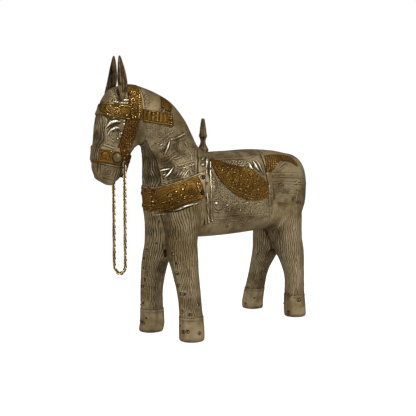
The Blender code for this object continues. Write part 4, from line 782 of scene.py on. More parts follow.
def resampled(points, count):
    """A number of points, evenly spaced, on the smooth line through a few."""
    line = smooth_line(points, 12)
    run = np.concatenate([[0], np.cumsum(np.linalg.norm(np.diff(line, axis=0), axis=1))])
    at = np.linspace(0, run[-1], count)
    return np.stack([np.interp(at, run, line[:, 0]), np.interp(at, run, line[:, 1])], -1)


def seen_at(loft, places, low=-178.0, high=-2.0):
    """The u and v of the near skin's points that lie at places in the image.

    The nearest point of a fine net is taken, and its cell's two edges lead on to the place.
    """
    u = np.linspace(0.02, loft.last, 320)
    v = np.linspace(low, high, 320) * DEGREE
    net = loft.bare(u[:, None], v[None, :])
    normals = outward_normals(loft, u[:, None], net)
    x, y = image_of(net)
    hidden = np.sum(normals * (net - EYE), -1) > 0
    found = []
    for px, py in places:
        cost = (x - px) ** 2 + (y - py) ** 2 + hidden * 1e6
        i, j = np.unravel_index(np.argmin(cost[1:-1, 1:-1]), (318, 318))
        i, j = i + 1, j + 1
        slopes = np.array([[x[i + 1, j] - x[i - 1, j], x[i, j + 1] - x[i, j - 1]],
                           [y[i + 1, j] - y[i - 1, j], y[i, j + 1] - y[i, j - 1]]]) / 2
        step = np.clip(np.linalg.lstsq(slopes, np.array([px - x[i, j], py - y[i, j]]), rcond=None)[0], -1, 1)
        found.append((u[i] + step[0] * (u[1] - u[0]), v[j] + step[1] * (v[1] - v[0])))
    return np.array(found).T


def edge_under(loft, line):
    """An edge between two sheets: the angle in degrees, at each u, of the skin under a line in the image."""
    seen_u, seen_v = seen_at(loft, resampled(line, 40))
    order = np.argsort(seen_u)

    def angle(u):
        """The line's angle at u, in degrees."""
        return np.interp(u, seen_u[order], -seen_v[order] / DEGREE)
    return angle


# Shader groups, shared by the materials
def new_group(name, inputs, outputs):
    """An empty shader node group with its sockets, each a name, a type and a value."""
    group = bpy.data.node_groups.new(name, "ShaderNodeTree")
    for label, kind, value in inputs:
        socket = group.interface.new_socket(name=label, in_out="INPUT", socket_type=kind)
        socket.default_value = value
    for label, kind in outputs:
        group.interface.new_socket(name=label, in_out="OUTPUT", socket_type=kind)
    return group, group.nodes.new("NodeGroupInput"), group.nodes.new("NodeGroupOutput")


def add_node(tree, kind, links=(), **settings):
    """A node with its settings, and its inputs linked or set by name or number."""
    node = tree.nodes.new(kind)
    for key, value in settings.items():
        setattr(node, key, value)
    for key, value in links:
        if isinstance(value, bpy.types.NodeSocket):
            tree.links.new(value, node.inputs[key])
        else:
            node.inputs[key].default_value = value
    return node


def mixed(tree, share, low, high):
    """A colour between two, by a share."""
    node = add_node(tree, "ShaderNodeMix", data_type="RGBA")
    for key, value in ((0, share), (6, low), (7, high)):
        if isinstance(value, bpy.types.NodeSocket):
            tree.links.new(value, node.inputs[key])
        else:
            node.inputs[key].default_value = value
    return node.outputs[2]


def computed(tree, operation, a, b=0.0, c=0.0, clamp=False):
    """The result of a Math node."""
    node = add_node(tree, "ShaderNodeMath", ((0, a), (1, b), (2, c)), operation=operation, use_clamp=clamp)
    return node.outputs[0]


def stepped(tree, value, low, high):
    """0 to 1 as a value goes smoothly from low to high."""
    node = add_node(tree, "ShaderNodeMapRange", (("Value", value), ("From Min", low), ("From Max", high)),
                    interpolation_type="SMOOTHSTEP")
    return node.outputs[0]


def noise(tree, place, scale, detail=3.0, rough=0.55):
    """Noise from 0 to 1 at a scale."""
    node = add_node(tree, "ShaderNodeTexNoise", (("Vector", place), ("Scale", scale), ("Detail", detail),
                                                 ("Roughness", rough)))
    return node.outputs["Fac"]


def build_patina():
    """Old sheet metal: dark soiling in its hollows, a worn brightness on its ridges, stains between them.

    The raised value of the relief is moved by noise. Below a half it goes to the dark colour, above it to the
    worn metal, and large soft noise mixes the metal with its stain. The sheet's own darkening share also goes
    to the dark colour, and on some sheets that share is painted shade.
    """
    group, given, out = new_group("worn_patina", [
        ("Raised", "NodeSocketFloat", 0.5), ("Grime Amount", "NodeSocketFloat", 0.0),
        ("Metal", "NodeSocketColor", (0.3, 0.25, 0.16, 1)),
        ("Stain", "NodeSocketColor", (0.2, 0.15, 0.08, 1)),
        ("Grime", "NodeSocketColor", (0.02, 0.014, 0.008, 1)),
        ("Worn", "NodeSocketColor", (0.7, 0.66, 0.55, 1)),
    ], [("Color", "NodeSocketColor"), ("Roughness", "NodeSocketFloat"), ("Metallic", "NodeSocketFloat"),
        ("Height", "NodeSocketFloat")])
    place = add_node(group, "ShaderNodeTexCoord").outputs["Object"]
    broad = noise(group, place, 26.0, 2.0)
    middle = noise(group, place, 120.0, 3.0)
    fine = noise(group, place, 900.0, 2.0, 0.6)
    raised = computed(group, "ADD", given.outputs["Raised"],
                      computed(group, "MULTIPLY_ADD", fine, 0.22, -0.11))
    hollow = computed(group, "SUBTRACT", 1.0, stepped(group, raised, 0.14, 0.50))
    worn = stepped(group, raised, 0.70, 1.0)
    stained = stepped(group,
                      computed(group, "ADD", broad, computed(group, "MULTIPLY_ADD", middle, 0.5, -0.25)),
                      0.40, 0.68)
    specks = stepped(group, noise(group, place, 420.0, 2.0, 0.7), 0.66, 0.76)
    dirt_and_shade = computed(group, "MAXIMUM", hollow, computed(group, "MULTIPLY", specks, 0.45))
    # The darkening share given on the mesh is added: soiling on most sheets, painted shade on the forward
    # faces, the rump's end, the legs' inner faces and under the hoof caps' rolled edges.
    dirt_and_shade = computed(group, "MULTIPLY_ADD", given.outputs["Grime Amount"],
                    computed(group, "MULTIPLY_ADD", middle, 1.1, 0.25), dirt_and_shade, True)
    colour = mixed(group, stained, given.outputs["Metal"], given.outputs["Stain"])
    colour = mixed(group, worn, colour, given.outputs["Worn"])
    colour = mixed(group, computed(group, "MULTIPLY", dirt_and_shade, 0.88), colour, given.outputs["Grime"])
    group.links.new(colour, out.inputs["Color"])
    rough = computed(group, "MULTIPLY_ADD", dirt_and_shade, 0.30, computed(group, "MULTIPLY_ADD", middle, 0.22, 0.33))
    group.links.new(computed(group, "MULTIPLY_ADD", worn, -0.18, rough, True), out.inputs["Roughness"])
    group.links.new(computed(group, "MULTIPLY_ADD", dirt_and_shade, -0.55, 0.88, True), out.inputs["Metallic"])
    height = computed(group, "MULTIPLY_ADD", middle, 0.8, computed(group, "MULTIPLY", fine, 0.35))
    group.links.new(height, out.inputs["Height"])
    return group


PATINA = build_patina()


def build_grain():
    """Carved wood: growth lines along Z drawn out by stretched noise, and pores between them."""
    group, given, out = new_group("carved_grain", [
        ("Light", "NodeSocketColor", (0.1, 0.08, 0.05, 1)),
        ("Dark", "NodeSocketColor", (0.02, 0.013, 0.008, 1)), ("Raised", "NodeSocketFloat", 0.5),
    ], [("Color", "NodeSocketColor"), ("Roughness", "NodeSocketFloat"), ("Height", "NodeSocketFloat")])
    place = add_node(group, "ShaderNodeTexCoord").outputs["Object"]
    drawn = add_node(group, "ShaderNodeMapping", (("Vector", place), ("Scale", (1.0, 1.0, 0.13))))
    lines = noise(group, drawn.outputs[0], 520.0, 3.0, 0.6)
    blotch = noise(group, place, 90.0, 3.0)
    share = computed(group, "MULTIPLY_ADD", lines, 0.7, computed(group, "MULTIPLY", blotch, 0.5))
    share = computed(group, "MULTIPLY", stepped(group, share, 0.42, 0.78),
                     stepped(group, given.outputs["Raised"], 0.05, 0.5))
    group.links.new(mixed(group, share, given.outputs["Dark"], given.outputs["Light"]), out.inputs["Color"])
    group.links.new(computed(group, "MULTIPLY_ADD", lines, 0.3, 0.4), out.inputs["Roughness"])
    group.links.new(lines, out.inputs["Height"])
    return group


GRAIN = build_grain()


def new_material(name):
    """A material with its Principled shader, and its tree."""
    material = bpy.data.materials.new(name)
    material.use_nodes = True
    return material, material.node_tree, material.node_tree.nodes["Principled BSDF"]


def connect_bump(tree, shader, height, strength, distance):
    """A bump from a height to the shader's normal."""
    bump = add_node(tree, "ShaderNodeBump",
                    (("Height", height), ("Strength", strength), ("Distance", distance)))
    tree.links.new(bump.outputs[0], shader.inputs["Normal"])


def patina_material(name, metal, stain, grime, worn, bump=0.35):
    """Sheet metal with the patina, driven by the raised value and the darkening value on the mesh; the
    darkening is soiling on some sheets and painted shade on others.
    """
    material, tree, shader = new_material(name)
    raised = add_node(tree, "ShaderNodeAttribute", attribute_name="raised").outputs["Fac"]
    soiled = add_node(tree, "ShaderNodeAttribute", attribute_name="grime").outputs["Fac"]
    worked = add_node(tree, "ShaderNodeGroup", node_tree=PATINA)
    tree.links.new(computed(tree, "ADD", raised, 0.5), worked.inputs["Raised"])
    tree.links.new(soiled, worked.inputs["Grime Amount"])
    for key, value in (("Metal", metal), ("Stain", stain), ("Grime", grime), ("Worn", worn)):
        worked.inputs[key].default_value = (*value, 1.0)
    tree.links.new(worked.outputs["Color"], shader.inputs["Base Color"])
    tree.links.new(worked.outputs["Roughness"], shader.inputs["Roughness"])
    tree.links.new(worked.outputs["Metallic"], shader.inputs["Metallic"])
    shader.inputs["Specular IOR Level"].default_value = 0.12
    shader.inputs["Specular Tint"].default_value = (0.30, 0.25, 0.18, 1.0)
    connect_bump(tree, shader, worked.outputs["Height"], bump, 0.0003)
    return material


def wood_material(name, light, dark, bump=0.5):
    """Carved wood with the grain, darker in its hollows."""
    material, tree, shader = new_material(name)
    worked = add_node(tree, "ShaderNodeGroup", node_tree=GRAIN)
    raised = add_node(tree, "ShaderNodeAttribute", attribute_name="raised").outputs["Fac"]
    tree.links.new(computed(tree, "ADD", raised, 0.5), worked.inputs["Raised"])
    worked.inputs["Light"].default_value = (*light, 1.0)
    worked.inputs["Dark"].default_value = (*dark, 1.0)
    tree.links.new(worked.outputs["Color"], shader.inputs["Base Color"])
    tree.links.new(worked.outputs["Roughness"], shader.inputs["Roughness"])
    shader.inputs["Specular IOR Level"].default_value = 0.2
    shader.inputs["Specular Tint"].default_value = (0.25, 0.20, 0.14, 1.0)
    shader.inputs["Metallic"].default_value = 0.5
    connect_bump(tree, shader, worked.outputs["Height"], bump, 0.0004)
    return material


# The third colour of each metal is its dark colour: patina and soiling in hollows, and painted shade where a
# sheet's darkening share paints it.
WHITE_METAL = patina_material("white_metal", (0.236, 0.182, 0.104), (0.140, 0.100, 0.048),
                              (0.016, 0.0095, 0.004), (0.88, 0.83, 0.70))
BRASS = patina_material("aged_brass", (0.126, 0.065, 0.013), (0.054, 0.025, 0.004), (0.008, 0.004, 0.002),
                        (0.80, 0.58, 0.22))
RUST_BRASS = patina_material("rust_brass", (0.105, 0.045, 0.010), (0.050, 0.021, 0.004),
                             (0.010, 0.005, 0.002), (0.42, 0.24, 0.08))
BOSS_METAL = patina_material("boss_metal", (0.100, 0.072, 0.034), (0.050, 0.032, 0.013),
                             (0.010, 0.005, 0.002), (0.55, 0.45, 0.28))
CHAIN_METAL = patina_material("chain_metal", (0.130, 0.082, 0.032), (0.070, 0.042, 0.014),
                              (0.010, 0.006, 0.003), (0.80, 0.66, 0.42))
WOOD = wood_material("carved_wood", (0.165, 0.110, 0.056), (0.008, 0.005, 0.002))
IRON, iron_tree, iron_shader = new_material("dark_iron")
IRON_PATINA = add_node(iron_tree, "ShaderNodeGroup", node_tree=PATINA)
for iron_key, iron_value in (("Metal", (0.026, 0.023, 0.020, 1)), ("Stain", (0.014, 0.011, 0.008, 1)),
                             ("Grime", (0.01, 0.008, 0.006, 1)), ("Worn", (0.12, 0.11, 0.10, 1))):
    IRON_PATINA.inputs[iron_key].default_value = iron_value
iron_tree.links.new(IRON_PATINA.outputs["Color"], iron_shader.inputs["Base Color"])
iron_tree.links.new(IRON_PATINA.outputs["Roughness"], iron_shader.inputs["Roughness"])
iron_shader.inputs["Metallic"].default_value = 0.6
iron_shader.inputs["Specular IOR Level"].default_value = 0.2
iron_shader.inputs["Specular Tint"].default_value = (0.25, 0.22, 0.18, 1.0)


# The rein: a chain of round links that hangs from two pins in the jaw
REIN_X = -0.1600 + SHIFT
REIN_Z = 0.1920
STRAND_Y = 0.0088
REIN_TOP = 0.191175
REIN_BOTTOM = REIN_Z - 0.1140
LINK_WIRE = 0.0016
LINK_WIDTH = 0.0046
LINK_INNER = 0.00345
LINKS = 73
STRAND = REIN_TOP - REIN_BOTTOM - STRAND_Y
REIN_LENGTH = 2 * STRAND + math.pi * STRAND_Y


def rein_route(s):
    """Points and directions on the rein at lengths s: down the left side, half a circle, up the right."""
    a = np.clip((s - STRAND) / STRAND_Y, 0, math.pi)
    down = np.minimum(s, STRAND)
    up = np.clip(s - STRAND - math.pi * STRAND_Y, 0, None)
    y = -STRAND_Y * np.cos(a)
    z = REIN_TOP - down + up - STRAND_Y * np.sin(a)
    points = np.stack([np.full(s.shape, REIN_X), y, z], -1)
    return points, np.stack([np.zeros(s.shape), np.sin(a), -np.cos(a)], -1)


def link_rings(centre, ahead, across):
    """A link of round wire: half circles at both ends of two straight sides, each point with a ring."""
    bend = (LINK_WIDTH - LINK_WIRE) / 2
    run = (LINK_INNER + 2 * LINK_WIRE - LINK_WIDTH) / 2
    a = np.concatenate([np.linspace(0, math.pi, 9), np.linspace(math.pi, 2 * math.pi, 9)])[:, None]
    push = np.repeat([run, -run], 9)[:, None]
    out = across * np.cos(a) + ahead * np.sin(a)
    middle = centre + bend * out + ahead * push
    b = np.linspace(0, 2 * math.pi, 8, endpoint=False)[None, :, None]
    return middle[:, None] + LINK_WIRE / 2 * (out[:, None] * np.cos(b) + np.cross(ahead, across) * np.sin(b))


def hang_rein():
    """The chain, its links turned by a right angle each."""
    centres, ways = rein_route(np.linspace(0, REIN_LENGTH, LINKS))
    rings = []
    for k, (centre, ahead) in enumerate(zip(centres, ways)):
        flat = np.array([1.0, 0.0, 0.0])
        upright = np.cross(flat, ahead)
        lean = 0.10 * math.sin(2.3 * k) + (0 if k % 2 == 0 else math.pi / 2)
        rings.append(link_rings(centre, ahead, flat * math.cos(lean) + upright * math.sin(lean)))
    rings = np.array(rings)
    count, around, sides = rings.shape[:3]
    index = np.arange(rings.size // 3).reshape(count, around, sides)
    ahead = np.roll(index, -1, 1)
    quads = np.stack([index, np.roll(index, -1, 2), np.roll(ahead, -1, 2), ahead], -1).reshape(-1, 4)
    mesh = bpy.data.meshes.new("rein_links")
    mesh.from_pydata(rings.reshape(-1, 3).tolist(), [], quads.tolist())
    mesh.polygons.foreach_set("use_smooth", np.ones(len(quads), bool))
    layer = mesh.attributes.new("raised", "FLOAT", "POINT")
    out = 0.50 * np.cos(np.linspace(0, 2 * math.pi, sides, endpoint=False)) - 0.02
    layer.data.foreach_set("value", np.broadcast_to(out, (count, around, sides)).ravel().astype(np.float32))
    chain = add_piece("rein_links", mesh, CHAIN_METAL, ["rein_chain"], "rein")
    route, _ = rein_route(np.linspace(0, REIN_LENGTH, 61))


hang_rein()


NEAR_FAR = ("left", "right")
OVER_LIFT = 0.0010          # a strap's outer face over the white sheets


# Nails, each an x, a y and a radius: the first two in image units, the last in metres
NAILS = [
    *[(x, y, 0.0011) for x, y in [
        (166.9, 244.8), (172.8, 253.6), (177.2, 273.5), (180.4, 293.8), (184.4, 294.2), (182.4, 311.4),
        (189.6, 315), (198.3, 304.6), (183.4, 331.9), (254.4, 298), (289.2, 294.6), (167.1, 232.6),
        (176.6, 263.4), (177.8, 285.6), (187.6, 331.5), (199.6, 333.4), (146.2, 318.2), (252.0, 246.6),
        (257.6, 253.8), (288.4, 312), (298.6, 300.4)]],
    *[(x, y, 0.0010) for x, y in [
        (208.8, 231.8), (227, 226.8), (241.8, 225), (247.4, 198.7), (270.2, 193.6), (152.1, 113.8),
        (169.6, 119.5), (170.9, 125.6), (161.5, 110), (166, 112.5), (169.4, 113), (131.4, 117.6),
        (129.6, 93.6), (124.6, 146.2)]],
    (203.2, 177.2, 0.0021), (202.6, 192.9, 0.0019), (153.4, 191.0, 0.0016), (141.2, 186.4, 0.0014),
]
NAIL_DENTS = [ring(x, y, 1.2 + radius * 500, 0.5, -0.35) for x, y, radius in NAILS]


def no_relief(x, y, s, t, points):
    """A plain sheet, with the faint dents of its hammering."""
    return 0.10 * (clouds(s / 4.2, t / 4.2, 3) - 0.5) + 0.05 * (clouds(s / 1.7, t / 1.7, 4) - 0.5)


def above(line, offset=0.0):
    """A test for points above a straight line seen from the side, its x before the shift."""
    (x0, z0), (x1, z1) = line

    def test(points):
        """Whether the points lie above the line."""
        return points[..., 2] > z0 + (z1 - z0) * (points[..., 0] - SHIFT - x0) / (x1 - x0) + offset
    return test


def both(*tests):
    """A test that holds where all the tests hold."""
    return lambda points: np.logical_and.reduce([test(points) for test in tests])


def opposite(test):
    """A test that holds where the other doesn't."""
    return lambda points: ~test(points)


# Sheets on the barrel
BODY_FLOW = ("chest", "front_left", "front_right")
REAR_FLOW = ("breech", "rear_left", "rear_right")
FRONT_EDGE = 205.5          # the saddle cloth's front edge, in image units


RUMP_STATION = 6            # the station where the barrel's ribs begin to close over the rump
RIB_MILLIMETRES = 28        # between two ribs, ahead of that station
RUMP_MILLIMETRES = 45
ANGLE_MILLIMETRES = 0.85    # around the barrel, for each degree
BODY_REACH = 0.014          # over how far a sheet of the barrel flows into its neighbours


def barrel_skin(name, u_range, v_range, relief, flow, replaced, sides=None, lift=0.0, **more):
    """A sheet on the barrel between two stations and two angles in degrees."""
    length = (min(u_range[1], RUMP_STATION) - u_range[0]) * RIB_MILLIMETRES
    length += max(u_range[1] - RUMP_STATION, 0) * RUMP_MILLIMETRES
    around = (v_range[1] - v_range[0]) * ANGLE_MILLIMETRES
    u = spaced(*u_range, length)[:, None]
    v = spaced(v_range[0] * DEGREE, v_range[1] * DEGREE, around)[None, :]
    return sheet_skin(name, barrel, u, v, relief, WHITE_METAL, "white_metal", replaced, lift, flow,
                      BODY_REACH, sides=sides, **more)


def circle(cx, cy, radius):
    """Points on a circle, the last on the first."""
    return [(cx + radius * math.cos(a), cy + radius * math.sin(a)) for a in np.linspace(0, 2 * math.pi, 13)]


SADDLE_DRAWING = [
    ridge(0.8, 1.2, [(206.9, 156.5), (206.6, 170), (207.1, 186), (207.6, 205), (208.5, 222)]),
    ridge(0.8, 1.1, [(210.3, 160.5), (210.4, 170), (211.0, 186), (211.2, 205), (211.6, 220)]),
    dome(202.5, 159, 1.6, 0.6), dome(202.6, 164, 1.6, 0.6),
    ridge(0.6, 0.4, [(212.4, 159), (222, 158.8), (236, 158.4), (249.3, 157.4), (252, 156.2), (255, 154.6)]),
    foliage(212, 159.5, 250, 167.5, 2.7, 0.55, 19),
    beads(2.3, 0.8, 0.5, [(216, 161.4), (232, 163.8), (246, 163.4)]),
    stroke(1.2, 1.4, [(248.0, 162), (250.2, 166.4), (253.6, 171.4)]),
    stroke(1.1, 1.4, [(253.0, 161.4), (255.2, 165.4), (258.8, 171)]),
    stroke(0.8, 0.8, [(256, 160), (259.6, 166), (262.6, 174)]),
    stroke(0.8, 0.7, [(244, 167), (248, 170), (251.4, 173)]),
    ridge(0.9, -0.9, [(260.4, 155.0), (264.6, 165), (266.8, 177.6), (268.1, 185)]),
    ridge(0.6, 0.35, [(269.4, 186), (269.8, 200), (269.8, 214.5)]),
    dome(216.0, 203.4, 1.6, 1.3), dome(226.6, 205.0, 1.1, 0.6), ring(218, 204.8, 3.9, 0.6, 0.4),
    beads(2.1, 0.85, 0.45, circle(218.6, 204.6, 6.9)), dome(214.8, 193.4, 1.3, 0.5),
    ring(214.8, 193.4, 2.7, 0.6, 0.35),
    beads(1.9, 0.8, 0.4, circle(222.4, 195.4, 3.1)), dome(222.4, 195.4, 1.2, 0.5),
    ring(214.0, 185.8, 1.9, 0.6, 0.35),
    dome(219.2, 190.6, 1.0, 0.55), dome(217.4, 198.0, 0.9, 0.5), dome(225.8, 199.6, 1.0, 0.5),
    dome(213.2, 178.6, 0.9, 0.4),
    dome(216.4, 182.6, 0.9, 0.4), stroke(0.6, 0.4, [(212, 172), (214.6, 180), (219, 187.6)]),
    stroke(0.6, 0.4, [(222, 189), (228, 195.6), (235, 199.4)]), foliage(211, 178, 228, 202, 2.7, 0.5, 13),
    leaf([(228.6, 210.4), (231.6, 205.4), (236.4, 202.6)], 2.4, 0.34),
    leaf([(239.6, 210.4), (242.4, 205.6), (247, 202.6)], 2.4, 0.34),
    stroke(0.6, 0.34, [(233.0, 210.8), (236.0, 206.6)]), stroke(0.6, 0.34, [(244.6, 210.4), (248.4, 206.0)]),
    leaf([(250.6, 211.6), (254.0, 206.6), (258.6, 203.4)], 2.4, 0.3),
    stroke(0.8, 0.4, [(257.6, 213), (261.6, 208), (265.6, 203.4)]),
    stroke(0.8, 0.4, [(262, 213.4), (266.2, 208.4)]),
    ridge(0.6, 0.28, [(209, 219.2), (225, 217.8), (245, 215.8), (269, 213.4)]),
    ridge(0.6, 0.25, [(209, 223.4), (225, 221.6), (245, 219.6), (269, 217.0)]),
    hatch([(210, 221.2), (230, 219.4), (268, 215.2)], 2.4, 2.4, 0.8, 0.2),
    foliage(210.5, 172, 269, 216, 4.0, 0.24, 9), stipple(211, 176, 268, 217, 1.7, -0.12),
]


def saddle_relief(x, y, s, t, points):
    """The saddle cloth: its drawing, on faintly dented sheet."""
    return emboss(x, y, SADDLE_DRAWING) + no_relief(x, y, s, t, points)


def under_cloth(x, y, s, t, points):
    """How far the breast lies under the saddle cloth, in millimetres."""
    return 1.3 * ease(x, FRONT_EDGE - 0.3, FRONT_EDGE + 0.7) * (points[..., 2] > 0.119)


def cloth_front(x, y, s, t, points):
    """How far the cloth lies under the breast in front of its front edge, in millimetres."""
    return -0.25 + 2.5 * (1 - ease(x, FRONT_EDGE - 1.0, FRONT_EDGE))


def saddle_grime(x, y, s, t, points):
    """Grime in patches over the saddle cloth, most of it behind."""
    return 0.10 + 0.5 * ease(clouds(x / 9, y / 6, 33), 0.45, 0.85) * ease(x, 214, 232)


def seat_grime(x, y, s, t, points):
    """The seat is dark with handling, darkest along the back."""
    return 0.70 + 0.5 * (1 - ease(np.abs(points[..., 1]), 0.003, 0.009))


def seat_relief(x, y, s, t, points):
    """The saddle seat: a rolled edge, long dents and a hatched border."""
    return emboss(x, y, SADDLE_DRAWING) + no_relief(x, y, s, t, points) + 0.12 * hammered(s, t, 3.2, 21)


BELLY_DRAWING = [
    *[stroke(0.7, 0.42, [(206 + 4.3 * k, 232.0 - 0.62 * k), (209 + 4.3 * k, 226.2 - 0.62 * k)])
      for k in range(14)],
    ridge(0.5, 0.3, [(204, 224.6), (225, 222.8), (245, 220.6), (262, 218)]),
]


def belly_grime(x, y, s, t, points):
    """A little soiling all over the belly, more in patches."""
    return 0.18 + 0.3 * ease(clouds(s / 9, t / 9, 34), 0.5, 0.9)


def belly_relief(x, y, s, t, points):
    """The belly: slanted strokes in a band along its edge, and streaks under it."""
    edge = ease(np.abs(s), 34, 37)
    drawn = emboss(x, y, BELLY_DRAWING) * edge + (1 - edge) * 0.2 * hammered(t, s, 2.6, 31)
    return drawn + no_relief(x, y, s, t, points)


barrel_skin("saddle_seat_sheet", (0.0, 4.24), (-35.7, 35.7), seat_relief, BODY_FLOW, ["saddle_seat"],
            grime=seat_grime)
barrel_skin("saddle_cloth_sheet", (0.0, 4.24), (-125.7, -36.3), saddle_relief, BODY_FLOW + REAR_FLOW,
            ["saddle_cloth_{}"], NEAR_FAR, sink=cloth_front, grime=saddle_grime)
barrel_skin("belly_skin", (0.0, 4.24), (126.3, 233.7), belly_relief, BODY_FLOW + REAR_FLOW, ["belly_sheet"],
            grime=belly_grime)

HAUNCH_DRAWING = [
    ridge(0.7, 0.42, [(266.5, 174.8), (280, 173.4), (299, 173.8)]),
    ridge(0.6, 0.36, [(266.8, 178.0), (281, 176.8), (301, 177.6)]),
    ridge(0.6, 0.40, [(268.2, 183.4), (283, 182.2), (303, 183.6)]),
    hatch([(268, 180.6), (283, 179.6), (302, 180.6)], 2.2, 2.0, 0.4, 0.25),
    beads(1.9, 0.7, 0.32, [(275, 172), (283, 167.5), (290, 164)]),
    stroke(0.8, 0.5, [(273, 172), (280, 168.6), (289, 163)]),
    rosette(276, 193.5, 4.0, 6, 0.3), rosette(290, 194.5, 4.4, 6, 0.3),
    spiral(283, 189.5, 2.6, 1.3, 0.6, 0.28, 0.5), spiral(283.5, 199, 2.8, 1.4, 0.6, 0.28, 3.4, -1),
    spiral(298, 189.5, 2.6, 1.3, 0.6, 0.26, 1.7), spiral(297.5, 200, 2.6, 1.3, 0.6, 0.26, 4.2, -1),
    spiral(271.5, 201.5, 2.2, 1.2, 0.55, 0.26, 0.0),
    leaf([(273, 186.5), (277, 188.5), (281, 187)], 2.6, 0.26),
    leaf([(286, 203), (290, 201), (294, 204)], 2.6, 0.26),
    foliage(267, 184.5, 307, 207, 4.2, 0.26, 29), foliage(267, 162, 300, 174, 3.6, 0.2, 39),
    stroke(0.9, 0.8, [(292.6, 183.4), (297, 182.4), (299.4, 178.6)]),
    stroke(0.8, 0.6, [(279, 187), (281.6, 184), (285, 183.6)]),
    stroke(1.0, 0.8, [(278.4, 168.2), (283.6, 163.0), (287.6, 163.4), (291, 166.6)]),
    stipple(268, 184, 306, 206, 1.8, -0.16),
]


def haunch_relief(x, y, s, t, points):
    """The haunch: ridges and a flowered field above, streaks down the thigh."""
    low = ease(y, 203, 212)
    high = 0.75 * emboss(x, y, HAUNCH_DRAWING)
    run = 0.26 * hammered(t + 0.15 * s, s, 2.6, 41)
    upper = (1 - ease(y, 168, 176)) * 0.16 * hammered(s, t, 2.6, 42)
    return np.maximum(high * (1 - low), low * run + upper * (1 - low)) + no_relief(x, y, s, t, points)


def rump_grime(x, y, s, t, points):
    """Darker along the top of the rump, painted shade down its end, and dark patches on the flowered field.
    """
    away = np.abs(points[..., 1])
    top = (0.9 * ease(x, 280, 292) * (1 - ease(away, 0.014, 0.024))
           + 0.5 * (1 - ease(away, 0.003, 0.009))) * (y < 200)
    # painted shade down the rump's end
    end = 0.8 * ease(x, 300.0, 304.5)
    patches = 0.8 * ease(clouds(x / 7, y / 6, 35), 0.45, 0.75) * ease(y, 180, 186) * (1 - ease(y, 202, 210))
    return np.maximum(np.maximum(top, end), patches * ease(x, 268, 272))


barrel_skin("rump_skin", (4.26, 6.985), (-71.7, 71.7), haunch_relief, REAR_FLOW, ["rump_sheet"],
            grime=rump_grime)
barrel_skin("haunch_skin", (4.26, 6.985), (-179.7, -72.3), haunch_relief, REAR_FLOW, ["haunch_sheet_{}"],
            NEAR_FAR, grime=rump_grime)


# Sheets on the chest and neck
def neck_skin(name, u_range, v_range, relief, flow, replaced, sides=None, lift=0.0, **more):
    """A sheet on the chest or neck between two stations and two angles in degrees."""
    u = spaced(*u_range, (u_range[1] - u_range[0]) * 14)[:, None]
    low, high = (edge(u) if callable(edge) else edge for edge in v_range)
    share = spaced(0, 1, float(np.max(high - low)) / 360 * 190)[None, :]
    v = (low + (high - low) * share) * DEGREE
    return sheet_skin(name, neck, u, v, relief, WHITE_METAL, "white_metal", replaced, lift, flow, 0.012,
                      sides=sides, **more)


STRAP_LINE = ((-0.1390, 0.2410), (-0.0960, 0.2360))
STRAP_HALF = 0.0066
BROW_LINE = ((-0.1840, 0.2475), (-0.1440, 0.2455))
MUZZLE_LINE = ((-0.1920, 0.2010), (-0.1620, 0.1965))
JOINT = ((-0.1320, 0.2110), (-0.1360, 0.2715))


def behind_joint(points):
    """Points behind the joint of neck and head."""
    (x0, z0), (x1, z1) = JOINT
    return points[..., 0] - SHIFT > x0 + (x1 - x0) * (points[..., 2] - z0) / (z1 - z0) + 0.0003


ahead_of_joint = opposite(behind_joint)
BREAST_DRAWING = [
    stroke(1.1, 1.1, [(164.0, 213.6), (169.6, 212.6), (176.4, 210.0)]),
    ridge(0.9, 0.55, [(142, 211.4), (150.4, 214.2), (160, 214.8), (168, 213.2), (177, 210), (186.1, 206.2),
                      (200.9, 201.8)]),
    ridge(0.8, 0.5, [(140.2, 183.4), (150.4, 186.6), (160, 186.4), (170, 183.6), (181, 180.2),
                     (191.2, 176.4), (202, 172.6)]),
    ridge(0.8, -0.8, [(160.9, 216), (162.5, 221), (164.6, 229), (165.6, 239)]),
    ridge(0.8, 0.35, [(162.8, 216), (164.4, 221), (166.5, 229), (167.5, 239)]),
]


def breast_relief(x, y, s, t, points):
    """The breast and shoulder: streaks, rolled borders along the collar and a seam down the shoulder."""
    run = 0.28 * hammered(s, t, 2.6, 51) * ease(y, 206, 214)
    return emboss(x, y, BREAST_DRAWING) + run + no_relief(x, y, s, t, points)


def breast_grime(x, y, s, t, points):
    """Painted shade in the middle of the breast, under the collar, where it faces forward."""
    return 0.35 * (1 - ease(np.abs(x - 156), 3, 14)) * ease(y, 205, 225)


neck_skin("breast_skin", (0.4, 4.95), (-126, 126), breast_relief, ("barrel", "front_left", "front_right"),
          ["breast_sheet"], sink=under_cloth, grime=breast_grime)


def neck_front_relief(x, y, s, t, points):
    """The front of the neck: dark wavy streaks that run down it."""
    wavy = s + 1.2 * np.sin(t / 4.5) + 2.0 * (clouds(s / 6, t / 8, 65) - 0.5)
    return 0.75 * hammered(wavy, t, 1.8, 61, 1.2) + no_relief(x, y, s, t, points)


def neck_front_grime(x, y, s, t, points):
    """Painted shade: the neck's front is darker than its sides, unevenly."""
    return 0.68 + 0.9 * (clouds(s / 3, t / 9, 62) - 0.5)


def neck_swell(x, y, s, t, points):
    """The neck's front sheets swell out, so they sink by less than nothing, in millimetres."""
    return -2.6 * ease(y, 141, 150) * (1 - ease(y, 176, 186)) * (1 - ease(x, 156, 174))


